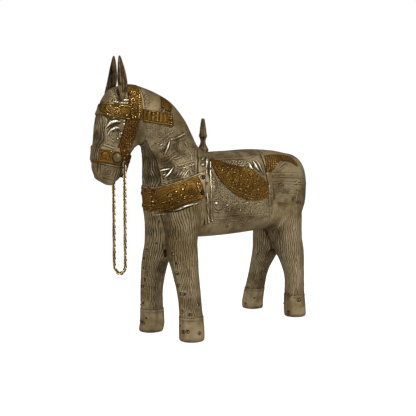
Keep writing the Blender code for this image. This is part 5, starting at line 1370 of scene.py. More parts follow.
neck_seam = edge_under(neck,
                       [(161, 185.6), (160.2, 178), (158, 168), (155.4, 158), (151.6, 150), (148, 144),
                        (145, 139)])
neck_skin("neck_front_skin", (5.0, 12.5), (lambda u: 0.6 - neck_seam(u), lambda u: neck_seam(u) - 0.6),
          neck_front_relief, ("barrel",), ["neck_front_sheet"], keep=behind_joint, grime=neck_front_grime,
          sink=neck_swell)
NECK_DRAWING = [
    beads(1.7, 0.8, 0.35, [(155.7, 142.4), (162, 138.6), (168, 134.6), (173.5, 130.8)]),
    beads(1.7, 0.7, 0.35, [(157, 144.6), (164, 140.6), (171, 136)]),
    ridge(0.8, 0.5, [(171.7, 139.9), (177, 137.4), (184.2, 134)]),
    stroke(0.8, 0.8, [(158.2, 145.9), (160.6, 144.6), (163.2, 143.6)]),
    ridge(0.7, 0.28, [(162, 148.6), (168, 145.8), (177, 141.6), (186, 137.6)]),
    stroke(1.15, 1.5, [(169.6, 140.6), (167, 146.6), (163.6, 154)]),
    *[stroke(0.6, 0.4, [(169.0 + 1.7 * k, 150.6 - 0.4 * k), (171.4 + 1.7 * k, 144.4 - 0.4 * k)])
      for k in range(4)],
    stroke(0.9, 0.35, [(179.4, 142.4), (180.6, 146), (181.2, 150)]),
    stroke(0.7, 0.6, [(184.5, 141), (186.5, 145), (187.5, 149)]),
    stroke(0.9, 0.45, [(167.0, 156.6), (171.4, 153.4), (176.6, 149.8)]),
    stroke(0.9, 0.55, [(160.0, 164.4), (167.3, 162.4), (172, 158.2), (178.2, 153.4)]),
    stroke(0.8, 0.45, [(159.6, 161.0), (165, 159.6), (169, 157.4)]),
    stroke(0.9, 0.6, [(173.0, 159.2), (178.4, 157.4), (184.4, 155.0)]),
    ridge(0.8, 0.45, [(179.4, 165.4), (186, 163.4), (193.4, 160.6)]),
    ridge(0.6, 0.4, [(180, 168.4), (187, 166.6), (194, 164)]),
    stroke(1.1, 1.5, [(158.6, 171.3), (164, 170), (170.2, 169.0)]),
    stroke(1.2, 1.6, [(173.6, 167.6), (169.6, 172.6), (164.4, 178)]),
    stroke(0.7, 0.6, [(161, 175.5), (165, 174.8), (168, 172.8)]),
    *[stroke(0.75, 0.6, [(174.6 + 3.0 * k, 178.0 - 0.5 * k), (180.4 + 3.0 * k, 170.6 - 0.5 * k)])
      for k in range(4)],
    ridge(0.7, 0.35, [(162, 183), (169, 181.4), (175.9, 179.7), (184, 177)]),
    ridge(0.9, 0.6, [(160.5, 187.2), (166, 185.9), (174.6, 183.4)]),
    stroke(0.8, 0.5, [(188.5, 150), (191.5, 156), (192.5, 162)]),
    stroke(0.7, 0.4, [(189, 169), (191, 172), (192.5, 175)]),
    ridge(0.9, -0.6, [(197.5, 150), (198.2, 162), (197.6, 175)]),
    ridge(0.8, 0.35, [(195.6, 151), (196.4, 162), (195.8, 174)]),
    dome(202.5, 159, 1.5, 0.6), dome(202.7, 164.3, 1.5, 0.6),
    foliage(156, 140, 199, 187, 3.6, 0.20, 49), stipple(138, 124, 171, 140, 2.2, -0.30),
    stipple(176, 112, 206, 180, 1.8, -0.14),
]


def neck_relief(x, y, s, t, points):
    """The neck's side: its drawing, and thin streaks along the crest."""
    crest = ease(s, 30, 42) + ease(-s, 30, 42)
    return emboss(x, y, NECK_DRAWING) + 0.10 * crest * hammered(s, t, 2.4, 63) + no_relief(x, y, s, t, points)


def throat_grime(x, y, s, t, points):
    """The throat is greyer and darker than the neck."""
    mane = 1.2 * (1 - ease(np.abs(points[..., 1]), 0.0030, 0.0080))
    throat = 0.55 * (1 - ease(y, 136, 145)) * (1 - ease(x, 166, 176))
    return np.maximum(np.maximum(mane, throat), 0.25 + 0.5 * ease(clouds(s / 7, t / 7, 66), 0.45, 0.85))


def front_grime(start, full, share):
    """Painted shade that grows toward the front of the face, by the width from the middle in metres."""
    def grime(x, y, s, t, points):
        return share * (1 - ease(np.abs(points[..., 1]), start, full))
    return grime


neck_skin("neck_side_skin", (5.0, 12.5), (-179.6, lambda u: -neck_seam(u) - 0.6), neck_relief, ("barrel",),
          ["neck_sheet_{}"], NEAR_FAR, keep=both(behind_joint, opposite(above(STRAP_LINE, 0.0005))),
          grime=throat_grime, sink=neck_swell)
CREST_DRAWING = [
    *[stroke(0.6, 0.45, [(144.0 + 1.6 * (k % 2), 108 - 2.6 * k), (147.4 + 0.3 * k, 105.4 - 2.8 * k),
                         (150.0, 103.6 - 2.8 * k)])
      for k in range(5)],
    stroke(0.5, 0.4, [(144, 99), (147, 97.6), (150.5, 97)]),
    stroke(0.5, 0.35, [(144.5, 103), (148, 101.5), (151.5, 100.5)]),
    ridge(0.6, 0.3, [(143, 93.5), (143.4, 102), (143.6, 110)]),
    stipple(152, 94, 175, 118, 1.8, -0.12),
]


def crest_relief(x, y, s, t, points):
    """The crest: short strokes behind the crown strap, and faint streaks over it."""
    return 0.6 * emboss(x, y, CREST_DRAWING) + 0.08 * hammered(s, t, 2.4, 64) + no_relief(x, y, s, t, points)


def crest_grime(x, y, s, t, points):
    """The mane's line along the top of the neck is dark."""
    return 1.2 * (1 - ease(np.abs(points[..., 1]), 0.0030, 0.0080))


neck_skin("crest_skin", (7.4, 12.5), (60, 300), crest_relief, (), ["crest_sheet"],
          keep=both(behind_joint, above(STRAP_LINE, -0.0005)), grime=crest_grime)


# Sheets on the head
def head_skin(name, u_range, v_range, relief, replaced, sides=None, lift=0.0, wrap=False, **more):
    """A sheet on the head between two stations and two angles in degrees."""
    length = (u_range[1] - u_range[0]) * 14
    u = spaced(*u_range, length, 0.5)[:, None]
    low, high = (edge(u) if callable(edge) else edge for edge in v_range)
    v = (low + (high - low) * spaced(0, 1, float(np.max(high - low)) / 360 * 120, 0.5)[None, :]) * DEGREE
    return sheet_skin(name, head, u, v[:, :-1] if wrap else v, relief, WHITE_METAL, "white_metal", replaced,
                      lift, sides=sides, wrap=wrap, **more)


POLL_DRAWING = [
    ridge(0.9, 1.1, [(115.5, 90.5), (117.5, 96.2), (121.2, 99.6), (124, 100.0), (127.8, 99.8)]),
    ridge(0.7, 0.9, [(113.4, 101.4), (120, 102.6), (127.6, 103.3)]),
    spiral(110.0, 98.5, 2.6, 1.4, 0.55, 0.45, 0.8), spiral(115.2, 100.4, 2.2, 1.3, 0.5, 0.42, 2.5, -1),
    spiral(111.4, 93.4, 2.0, 1.2, 0.5, 0.4, 1.7), ring(119.6, 102.4, 1.5, 0.5, 0.4),
    ring(123.6, 103.0, 1.3, 0.5, 0.35),
    dome(106.6, 98.0, 1.0, 0.35), dome(107.2, 93.6, 0.9, 0.3), dome(126, 103.2, 0.9, 0.3),
    dome(113.4, 96.2, 0.9, 0.35), ridge(0.6, 0.4, [(103.5, 103.6), (112, 104.4), (122, 104.8)]),
    foliage(99, 88, 129, 105, 3.3, 0.5, 59), stipple(99, 88, 128, 104, 1.7, -0.22),
]


def poll_relief(x, y, s, t, points):
    """The forehead: small scrolls and dots between punched marks."""
    return 0.6 * emboss(x, y, POLL_DRAWING) + no_relief(x, y, s, t, points)


def nose_relief(x, y, s, t, points):
    """The nose strip: streaks that run down it, and steps over the two bands."""
    wavy = s + 0.3 * np.sin(t / 5.0) + 1.0 * (clouds(s / 5, t / 8, 73) - 0.5)
    return 0.80 * hammered(wavy, t, 1.8, 71, 1.2) + no_relief(x, y, s, t, points)


def nose_sink(x, y, s, t, points):
    """The nose strip rises over the browband and the noseband, so there its sinking is negative."""
    brow = ease(y, 99.6, 101.0) * (1 - ease(y, 113.6, 115.0))
    nose = ease(y, 145.0, 146.4) * (1 - ease(y, 159.6, 161.0))
    return -(1.5 * np.maximum(brow, nose))


FACE_DRAWING = [
    stroke(1.25, 1.7, [(106.3, 127.6), (109.4, 123.2), (114.3, 121.5), (120.4, 121.4)]),
    stroke(1.15, 1.5, [(109.2, 130.8), (112.5, 128.7), (115.4, 128.0), (119.0, 127.7)]),
    stroke(0.8, 0.7, [(107.4, 135.6), (109.0, 132.0), (112, 130.2)]),
    stroke(0.6, 0.6, [(110.5, 118.6), (116, 117.4), (121, 117.8)]),
    ring(113.9, 134.3, 3.5, 0.6, 0.3), stroke(0.7, 0.6, [(118.2, 131), (119.8, 135), (118.0, 139.6)]),
    stroke(0.6, 0.5, [(109.4, 137.4), (111.8, 140.4), (115.6, 141.4)]),
    dome(124.4, 120.6, 1.1, 0.6), dome(123.6, 124.3, 1.1, 0.6), dome(121.3, 133.4, 1.0, 0.7),
    dome(120.6, 137, 1.0, 0.7), dome(117.4, 138.5, 1.0, 0.7), dome(106.6, 140.6, 0.9, 0.4),
    ridge(0.8, 0.5, [(102.7, 144.4), (108, 146.0), (113.5, 147.8)]),
    ridge(0.6, 0.19, [(107.2, 117.9), (105.8, 128), (104.3, 139.8), (102.9, 144.4)]),
    foliage(103, 117, 126, 146, 3.4, 0.22, 69), stipple(103, 116, 126, 146, 1.8, -0.14),
]


def face_relief(x, y, s, t, points):
    """The cheek: bright arched strokes over a ring."""
    return emboss(x, y, FACE_DRAWING) + no_relief(x, y, s, t, points)


MUZZLE_DRAWING = [
    ridge(0.7, 0.7, [(92, 160.4), (100, 162.6), (107, 164.2), (114, 165.6), (121.5, 166.6)]),
    ridge(0.7, 0.6, [(99.6, 163), (99.4, 168), (99.0, 173.6)]),
    ridge(0.8, -0.6, [(97.6, 163), (97.4, 168), (97.2, 172)]),
    spiral(108.4, 172.0, 2.6, 1.5, 0.6, 0.8, 1.5), ring(108.4, 172.2, 3.6, 0.6, 0.4),
    dome(108.4, 172.4, 1.1, 0.6),
    ridge(0.7, -0.7, [(102.5, 177.5), (108.5, 179.6), (115, 181.0)]),
    ridge(0.7, 0.3, [(102.5, 175.8), (108, 177.6), (114, 179.2)]),
    *[stroke(0.7, 0.7, [(112.8 + 2.3 * k, 179.4 - 0.2 * k), (114.6 + 2.3 * k, 173),
                        (116.8 + 2.3 * k, 167.6)]) for k in range(4)],
    foliage(100, 165, 122, 182, 3.6, 0.22, 79), dome(104.0, 167.8, 0.9, 0.5), dome(102.4, 173.4, 0.8, 0.4),
]


def muzzle_relief(x, y, s, t, points):
    """The muzzle: a rolled edge, a curled nostril and the line of the mouth."""
    return 0.7 * emboss(x, y, MUZZLE_DRAWING) + no_relief(x, y, s, t, points)


def nose_grime(x, y, s, t, points):
    """Painted shade: the strip down the nose, which faces forward, is dark, unevenly."""
    return 0.75 + 0.8 * (clouds(s / 3, t / 8, 72) - 0.5)


def face_grime(x, y, s, t, points):
    """Grime behind the cheek strap and a little of it over the face."""
    return 0.08 + 0.6 * ease(x, 124, 131)


def chin_sink(x, y, s, t, points):
    """The muzzle slopes back to the chin: it sinks below a slanting line in the image."""
    return 1.5 * ease(y - 170.0 - 0.72 * (x - 90), 0, 5) * (1 - ease(x, 104, 112))


nose_seam = edge_under(head,
                       [(101.6, 92), (101.0, 104), (101.4, 113), (104.6, 118), (104.6, 130), (104.2, 142),
                        (100.0, 148),
                              (98.8, 154), (98.6, 162), (98.2, 168)])
head_skin("poll_skin", (0.5, 6.0), (-115, 115), poll_relief, ["poll_sheet"],
          grime=front_grime(0.005, 0.010, 0.45), keep=both(ahead_of_joint, above(BROW_LINE, -0.0005)))
head_skin("nose_skin", (4.5, 9.0), (lambda u: 0.5 - nose_seam(u), lambda u: nose_seam(u) - 0.5),
          nose_relief, ["nose_strip"], grime=nose_grime,
          lift=0.0003, sink=nose_sink,
          keep=both(opposite(above(BROW_LINE, 0.0075)), above(MUZZLE_LINE, -0.0075)))
head_skin("face_skin", (0.5, 9.0), (-179.6, lambda u: -nose_seam(u) - 0.5), face_relief, ["face_sheet_{}"],
          NEAR_FAR, grime=face_grime,
          keep=both(ahead_of_joint, opposite(above(BROW_LINE, 0.0005)), above(MUZZLE_LINE, -0.0005)))
head_skin("muzzle_skin", (7.0, 10.99), (0, 360), muzzle_relief, ["muzzle_sheet"], wrap=True,
          poles=(False, True), grime=front_grime(0.006, 0.011, 0.45), sink=chin_sink,
          keep=opposite(above(MUZZLE_LINE, 0.0)))


# Legs and hoof caps
def leg_relief(x, y, s, t, points):
    """A leg: long hammered streaks down it."""
    return 0.50 * hammered(s, t, 2.3, 81) + no_relief(x, y, s, t, points)


def hoof_relief(x, y, s, t, points):
    """A hoof cap: plain, with soft dents and a rolled upper edge."""
    z = points[..., 2]
    return (0.18 * np.exp(-((z - 0.0250) / 0.0012) ** 2) + 0.5 * (clouds(s / 7, t / 7, 91) - 0.5)
            + no_relief(x, y, s, t, points))


def hoof_grime(x, y, s, t, points):
    """A hoof cap darker at its foot, painted shade in a thin line under its rolled edge, and soiling in
    patches.
    """
    z = points[..., 2]
    # darker at the foot, and painted shade in a thin line under the rolled edge
    low = 0.7 * (1 - ease(z, 0.001, 0.006)) + 0.5 * np.exp(-((z - 0.0235) / 0.0008) ** 2)
    return np.maximum(low, 0.35 * ease(clouds(s / 11, t / 11, 92), 0.5, 0.85))


def leg_grime(x, y, s, t, points):
    """Painted shade on the inner faces, and soiling in patches down the leg."""
    # painted shade on the inner faces, which face the other legs
    inner = ease(np.abs(points[..., 1]), 0.012, 0.030)
    return 0.30 * (1 - inner) + 0.25 * ease(clouds(s / 8, t / 16, 82), 0.62, 0.85)


for pair in ("front", "rear"):
    loft = LEGS[f"{pair}_left"]
    angles = np.linspace(0, 2 * math.pi, 170, endpoint=False)[None, :]
    stations = np.interp(np.linspace(0, 1, 200), [0, 0.12, 1], [3.15, 4.3, loft.last])[:, None]
    sheet_skin(f"leg_skin_{pair}", loft, stations, angles, leg_relief, WHITE_METAL, "white_metal",
               [f"leg_sheet_{pair}_" + "{}"],
               flow=("barrel", "chest") if pair == "front" else ("barrel", "breech"),
               reach=0.014, wrap=True, sides=NEAR_FAR, grime=leg_grime)
    stations = np.interp(np.linspace(0, 1, 60), [0, 0.2, 0.6, 1], [0.4, 1.0, 2.0, 3.08])[:, None]
    sheet_skin(f"hoof_skin_{pair}", loft, stations, angles, hoof_relief, WHITE_METAL, "white_metal",
               [f"hoof_cap_{pair}_" + "{}"], wrap=True, sides=NEAR_FAR, lift=0.0003, grime=hoof_grime)


# Bands and plates of brass
def height_on(line, x):
    """The height of a straight line, seen from the side, at x."""
    (x0, z0), (x1, z1) = line
    return z0 + (z1 - z0) * (x - SHIFT - x0) / (x1 - x0)


def first_past(loft, v, test):
    """The u at which the skin line of each angle v first passes where a test value falls under 0."""
    u = np.linspace(0.05, loft.last, 700)
    over = test(loft.bare(u[:, None], v[None, :]))
    first = np.clip(np.argmax(over < 0, 0), 1, None)
    pick = np.arange(len(v))
    a, b = over[first - 1, pick], over[first, pick]
    return u[first - 1] + (u[first] - u[first - 1]) * np.clip(a / (a - b), 0, 1)


def both_ways(u, v):
    """An edge's u and v on one side, made into the edge over both sides."""
    return np.concatenate([u[:0:-1], u]), np.concatenate([-v[:0:-1], v])


def face_edge(line, turn, back, count=60):
    """A band's edge: round the face to an angle under a line, then back along the line to an x."""
    v = np.linspace(0, turn, count)
    u = first_past(head, v, lambda points: points[..., 2] - height_on(line, points[..., 0]))
    x = np.linspace(head.bare(u[-1], turn)[0], back + SHIFT, count)[1:]
    side_u, side_v = head.place(x, height_on(line, x))
    return both_ways(np.concatenate([u, side_u]), np.concatenate([v, side_v]))


def crown_edge(x, foot, count=60):
    """The crown strap's edge: over the poll at one x, then straight down to its foot."""
    v = np.linspace(0, 60 * DEGREE, count)
    u = first_past(head, v, lambda points: points[..., 0] - SHIFT - x)
    z = np.linspace(head.bare(u[-1], v[-1])[2], foot, count)[1:]
    side_u, side_v = head.place(np.full(z.shape, x + SHIFT), z)
    return both_ways(np.concatenate([u, side_u]), np.concatenate([v, side_v]))


def brass_skin(name, loft, edges, rows, relief, replaced, lift=OVER_LIFT, material=BRASS, **more):
    """A sheet of brass between an upper and a lower edge, each given by its u and v."""
    (top_u, top_v), (low_u, low_v) = edges
    share = np.linspace(0, 1, rows)[:, None]
    return sheet_skin(name, loft, top_u + (low_u - top_u) * share, top_v + (low_v - top_v) * share, relief,
                      material, "aged_brass", replaced, lift, **more)


def side_plate(name, loft, upper, lower, size, relief, replaced, lift=OVER_LIFT, material=BRASS, **more):
    """A plate on both sides of a loft, between an upper and a lower curve seen from the side."""
    columns, rows = size
    top, low = resampled(upper, columns), resampled(lower, columns)
    grid = top + (low - top) * np.linspace(0, 1, rows)[:, None, None]
    u, v = loft.place(grid[..., 0] + SHIFT, grid[..., 1])
    return sheet_skin(name, loft, u, -v, relief, material, "aged_brass", replaced, lift, sides=NEAR_FAR,
                      **more)


def seen_plate(name, loft, upper, lower, size, relief, replaced, lift=OVER_LIFT, **more):
    """A plate on both sides of a loft, between an upper and a lower curve in the image."""
    columns, rows = size
    top = seen_at(loft, resampled(upper, columns))
    low = seen_at(loft, resampled(lower, columns))
    return brass_skin(name, loft, (top, low), rows, relief, replaced, lift, sides=NEAR_FAR, **more)


def chased(drawing, streak=0.0):
    """A relief from a drawing, on brass with small dents."""
    def relief(x, y, s, t, points):
        dents = 0.16 * (clouds(s / 1.6, t / 1.6, 15) - 0.5) + 0.16 * (clouds(s / 3.4, t / 3.4, 16) - 0.5)
        return emboss(x, y, drawing) + dents + streak * hammered(s, t, 2.4, 17)
    return relief


def moved(points, dx, dy):
    """A line of points moved by a distance."""
    return [(x + dx, y + dy) for x, y in points]


COLLAR_TOP = [(141, 185.2), (145.3, 188.4), (152.4, 189.1), (159.6, 188.1), (170.3, 185.4), (186, 180.4),
              (200.3, 174.9)]
COLLAR_FOOT = [(143, 208.4), (150.4, 211.6), (160, 212), (168, 210.2), (177, 207), (186.1, 203.4),
               (200.9, 198.8)]
COLLAR_DRAWING = [
    ridge(0.6, 0.45, moved(COLLAR_TOP, 0.2, 2.2)), ridge(0.6, 0.35, moved(COLLAR_FOOT, 0, -1.4)),
    *[stroke(0.95, 0.45, [(159.4 + 2.8 * k, 208.6 - 0.95 * k), (160.4 + 2.8 * k, 205.2 - 1.05 * k)])
      for k in range(8)],
    *[dome(161.2 + 2.8 * k, 203.2 - 1.1 * k, 0.9, 0.5) for k in range(8)],
    dome(160.4, 197.6, 1.3, 0.7), stroke(0.9, 0.54, [(162.6, 197.4), (164.6, 195.2), (167.2, 193.4)]),
    stroke(1.0, 0.66, [(166, 194), (171, 191.0), (177.5, 188.2)]),
    stroke(0.8, 0.42, [(170, 190), (174, 187.6), (179, 186.4)]),
    dome(170.4, 195.2, 2.2, 1.2), dome(175.6, 191.8, 1.3, 0.8), spiral(164.0, 200.0, 2.8, 1.5, 0.6, 0.5, 0.4),
    stroke(1.0, 0.6, [(176.6, 195.6), (178.0, 197.8), (179.6, 200.4)]), dome(184.6, 184.6, 1.6, 0.8),
    dome(182.2, 189.4, 1.2, 0.7),
    spiral(177.4, 199.4, 2.8, 1.5, 0.65, 0.42, 2.2, -1), spiral(190.4, 191.6, 4.4, 1.7, 0.65, 0.42, 0.9),
    ring(190.4, 191.6, 5.2, 0.6, 0.35), leaf([(183.4, 198.6), (187, 196.8), (191.4, 196.6)], 3.0, 0.4),
    leaf([(196.6, 183.2), (199.4, 186.8), (199.8, 191.4)], 3.2, 0.5),
    stroke(0.9, 0.48, [(194, 181.2), (197.6, 180.4), (200.8, 181.6)]),
    stroke(0.7, 0.36, [(186, 184.2), (190, 182), (194.4, 182.2)]),
    ridge(0.6, 0.45, [(143.4, 195.6), (148, 196.2), (152.6, 195.6)]),
    ridge(0.6, 0.45, [(145, 204.6), (151, 205.4), (157.4, 204.2)]),
    ridge(0.8, -0.8, [(152.2, 190.4), (152.2, 196), (152.1, 206.5)]), dome(153.6, 200.8, 1.2, 0.8),
    spiral(148.4, 200.8, 2.6, 1.4, 0.6, 0.34, 1.0),
    leaf([(156.2, 192), (158.4, 196), (157, 200.4)], 2.8, 0.34),
    foliage(142, 185, 204, 212, 3.8, 0.22, 12), stipple(140, 184, 204, 214, 1.9, -0.22),
]
collar_v = np.linspace(-97, 97, 300) * DEGREE


def collar_edge(line):
    """An edge of the collar: the u on the neck at each of its angles under a line in the image."""
    seen_u, seen_v = seen_at(neck, resampled(line, 40))
    order = np.argsort(-seen_v)
    return softened(np.interp(np.abs(collar_v), -seen_v[order], seen_u[order])[None, :], 30)[0]


brass_skin("breast_collar_band", neck,
           ((collar_edge(COLLAR_TOP), collar_v), (collar_edge(COLLAR_FOOT), collar_v)), 60,
           chased(COLLAR_DRAWING), ["breast_collar"], flow=("barrel", "front_left", "front_right"))

BROW_UPPER = ((-0.1850, 0.2518), (-0.1550, 0.2520))
BROW_LOWER = ((-0.1850, 0.2405), (-0.1550, 0.2362))
BAND_LIFT = OVER_LIFT + 0.0002
BROW_DRAWING = [
    ridge(0.6, 0.45, [(101.5, 103.4), (112, 104.2), (122, 105.6), (130, 106.8)]),
    ridge(0.6, 0.5, [(101.5, 113.4), (110, 115.2), (121, 117.4), (131, 119.4)]),
    rosette(108.8, 108.4, 2.6, 6, 0.6), rosette(115.4, 110.2, 3.0, 7, 0.65),
    spiral(105.2, 111.2, 1.8, 1.2, 0.55, 0.6, 0.5),
    spiral(111.8, 112.8, 1.7, 1.2, 0.5, 0.55, 2.0, -1), dome(109.8, 104.9, 0.9, 0.6),
    dome(113.2, 106.4, 0.8, 0.55),
    dome(118.6, 106.9, 0.9, 0.55), dome(106.6, 114.0, 1.2, 0.7), dome(119.6, 113.8, 0.9, 0.5),
    dome(104.8, 106.6, 0.9, 0.5),
    dome(126.4, 115.4, 0.9, 0.5), foliage(101, 103, 121, 119, 3.0, 0.42, 22),
    foliage(120, 111, 131, 120, 3.0, 0.3, 23), stipple(101, 103, 131, 120, 1.6, -0.28),
]
face_turn = 45 * DEGREE
brass_skin("brow_band", head,
           (face_edge(BROW_UPPER, face_turn, -0.1540), face_edge(BROW_LOWER, face_turn, -0.1540)), 32,
           chased(BROW_DRAWING), ["browband"], BAND_LIFT)

CROWN_DRAWING = [
    beads(2.0, 0.85, 0.65, [(138.6, 95.4), (138.9, 104), (138.6, 113), (137.6, 119)]),
    ridge(0.6, 0.45, [(140.8, 93), (141, 104), (140.4, 118)]),
    ridge(0.6, 0.45, [(129.4, 92.4), (128.8, 102), (127.4, 118)]),
    spiral(133.6, 92.6, 2.4, 1.5, 0.6, 0.6, 0.8), spiral(132.8, 100.4, 2.8, 1.5, 0.6, 0.6, 2.4, -1),
    spiral(133.8, 107.6, 2.4, 1.4, 0.6, 0.55, 0.2), spiral(131.4, 114.4, 2.3, 1.4, 0.6, 0.55, 1.8, -1),
    dome(136.2, 96.4, 0.9, 0.5), dome(129.9, 96.6, 0.8, 0.5), dome(135.8, 103.8, 0.9, 0.5),
    dome(130.6, 104.6, 0.9, 0.5),
    dome(134.9, 111.8, 0.9, 0.5), leaf([(134, 116.8), (136, 118.4), (138, 118.6)], 1.8, 0.4),
    foliage(127, 87, 142, 121, 3.2, 0.42, 32), stipple(126, 86, 143, 121, 1.7, -0.26),
]
CROWN_FOOT_Z = 0.2364
brass_skin("crown_band", head, (crown_edge(-0.1380, CROWN_FOOT_Z), crown_edge(-0.1545, CROWN_FOOT_Z)), 34,
           chased(CROWN_DRAWING), ["crown_strap"], BAND_LIFT + 0.0004,
           sink=lambda x, y, s, t, points: 1.1 * (1 - ease(np.abs(points[..., 1]), 0.006, 0.014)))

NOSE_UPPER = ((-0.1905, 0.2080), (-0.1640, 0.2037))
NOSE_LOWER = ((-0.1927, 0.1945), (-0.1640, 0.1902))
NOSE_DRAWING = [
    ridge(0.6, 0.5, [(98, 148.4), (108, 149.4), (118, 150.6), (128, 151.6)]),
    ridge(0.7, 0.5, [(98, 160.4), (106, 161.4), (112, 162.4), (121, 164.4), (128, 165)]),
    dome(104.6, 155.2, 3.8, 1.1), ring(104.6, 155.2, 4.9, 0.6, 0.25), dome(106.4, 157.8, 1.2, 0.9),
    dome(104.6, 152.8, 1.0, 0.5),
    ring(116.6, 157.4, 6.2, 0.6, 0.4), dome(110.6, 151.6, 0.9, 0.5), dome(111.0, 161, 0.9, 0.5),
    stipple(97, 147, 130, 167, 1.7, -0.26),
]
brass_skin("nose_band", head,
           (face_edge(NOSE_UPPER, face_turn, -0.1645), face_edge(NOSE_LOWER, face_turn, -0.1645)), 36,
           chased(NOSE_DRAWING), ["noseband"], BAND_LIFT)
JAW_FRONT = [(118.2, 136), (119.2, 142), (120.2, 148.4), (121.4, 156), (122.4, 164), (123.2, 171),
             (124.4, 177.6)]
JAW_DRAWING = [
    *[dome(123.6 + 3.2 * (k % 2), 150.6 + 3.4 * k, 1.2, 0.6) for k in range(8)],
    foliage(119, 147, 135, 180, 3.0, 0.32, 24), stipple(119, 147, 135, 180, 1.7, -0.3),
]


def jaw_swell(x, y, s, t, points):
    """The jaw's sheet stands out along the middle of the jaw, so it sinks by less than nothing."""
    return -2.6 * (1 - ease(np.abs(points[..., 1]), 0.0010, 0.0048))


def below_cheek(points):
    """Points under the lower end of the cheek strap in the image."""
    return image_of(mirrored(points))[1] > 145.6


jaw_u, jaw_v = seen_at(head, resampled(JAW_FRONT, 72))
brass_skin("jaw_band", head, ((jaw_u, jaw_v), (jaw_u, np.full(72, -math.pi))), 44, chased(JAW_DRAWING), [],
           0.0009, sides=NEAR_FAR, material=RUST_BRASS, sink=jaw_swell, keep=below_cheek)

STRAP_DRAWING = [
    ridge(0.6, 0.4, [(142, 109.6), (156, 111.8), (173.5, 115.2)]),
    ridge(0.6, 0.4, [(142, 120.4), (156, 122.6), (173, 125.4)]),
    *[ridge(0.9, (0.35, 0.6, 0.4, 0.7, 0.3, 0.45)[k],
            [(144.6 + 4.1 * k, 111.6 + 0.55 * k), (144.4 + 4.1 * k, 118.8 + 0.55 * k)])
      for k in range(6)], foliage(142, 109, 174, 127, 3.0, 0.2, 62),
    *[ridge(0.7, -0.25, [(146.6 + 4.1 * k, 111.6 + 0.55 * k), (146.4 + 4.1 * k, 119.8 + 0.55 * k)])
      for k in range(6)],
    beads(2.0, 0.75, 0.5, [(170.6, 114.6), (170.9, 125.6)]), stipple(142, 109, 174, 127, 1.8, -0.18),
]
strap_x = (-0.1372, -0.1165, -0.0955)
side_plate("neck_band", neck, [(x, height_on(STRAP_LINE, x + SHIFT) + STRAP_HALF) for x in strap_x],
           [(x, height_on(STRAP_LINE, x + SHIFT) - STRAP_HALF) for x in strap_x], (84, 28),
           chased(STRAP_DRAWING), ["neck_strap_{}"], BAND_LIFT)
CHEEK_DRAWING = [
    ridge(0.7, 0.35, [(126.6, 122), (123.4, 134), (120, 146)]),
    ridge(0.7, 0.35, [(137.6, 123.8), (134.8, 134), (131.4, 146)]),
    foliage(119, 120, 139, 148, 3.0, 0.45, 25), stipple(119, 120, 139, 148, 2.1, -0.5),
]
side_plate("cheek_band", head, [(-0.1425, 0.2372), (-0.1585, 0.2372)],
           [(-0.1500, 0.2080), (-0.1675, 0.2080)], (34, 60),
           chased(CHEEK_DRAWING), ["cheek_strap_{}"], OVER_LIFT, material=RUST_BRASS)

FLAP_UPPER = [(210.2, 159.2), (218.2, 161.1), (229.3, 164.6), (239, 166.6), (247.5, 167.6), (253.6, 170.6),
              (258, 175), (264, 179.8), (267.4, 186.5), (268.2, 195.6)]
FLAP_LOWER = [(209.2, 160.4), (213.4, 168.4), (218.5, 178.4), (225.6, 186.3), (233, 192.8), (241.9, 198),
              (252.2, 200.7), (261.1, 199.9), (267.8, 196.6)]
FLAP_DRAWING = [
    ridge(0.6, 0.5, [(213.4, 163), (217.4, 171), (222.4, 179), (229, 185.6), (236.6, 190.8), (245, 194.6),
                     (254, 196.2), (262.4, 195.2), (266.6, 191)]),
    ridge(0.5, 0.35, [(212.4, 164.8), (216.2, 173), (221.2, 181), (228, 187.8), (236, 193), (245, 197),
                      (254, 198.6), (262.6, 197.6)]),
    ridge(0.6, 0.4, [(214, 162), (225, 165.6), (237, 168.8)]), dome(235.4, 180.6, 3.0, 0.7),
    dome(232.6, 178.4, 0.9, 0.5),
    rays(243.5, 179, 7.2, 11.6, 26, 102, 9, 0.6), dome(257.4, 179.4, 2.2, 0.45),
    beads(2.0, 0.8, 0.3, circle(257.4, 179.4, 4.0)),
    leaf([(226, 176.4), (229.4, 173.0), (234, 172.4)], 2.6, 0.4),
    leaf([(221, 171), (223.4, 168.4), (227, 168.0)], 2.2, 0.4),
    leaf([(239.6, 184.6), (242.4, 181.0), (247, 179.6)], 2.4, 0.35),
    leaf([(246.6, 186.6), (250.4, 183.6), (254.6, 184.0)], 2.4, 0.35),
    leaf([(231, 187), (235.4, 188.8), (240.4, 188.6)], 2.4, 0.35),
    leaf([(244, 190.6), (248.4, 191.6), (253.4, 190.6)], 2.4, 0.3),
    leaf([(257, 189.4), (260.8, 189.8), (264.4, 187.4)], 2.4, 0.35), dome(243.4, 186.8, 0.9, 0.35),
    dome(255.4, 187.4, 0.9, 0.3),
    dome(229.4, 182.4, 1.0, 0.4), dome(262.8, 183.6, 1.0, 0.35), dome(224.6, 177.4, 0.9, 0.4),
    dome(240.4, 176.2, 1.0, 0.5),
    foliage(211, 161, 268, 199, 3.4, 0.38, 42), stipple(209, 159, 269, 201, 1.8, -0.26),
    stroke(1.0, 0.9, [(212.6, 162.6), (214.4, 167), (216.6, 171)]),
]
seen_plate("saddle_flap_plate", barrel, FLAP_UPPER, FLAP_LOWER, (130, 62), chased(FLAP_DRAWING),
           ["saddle_flap_{}"], OVER_LIFT + 0.0004, flow=BODY_FLOW)

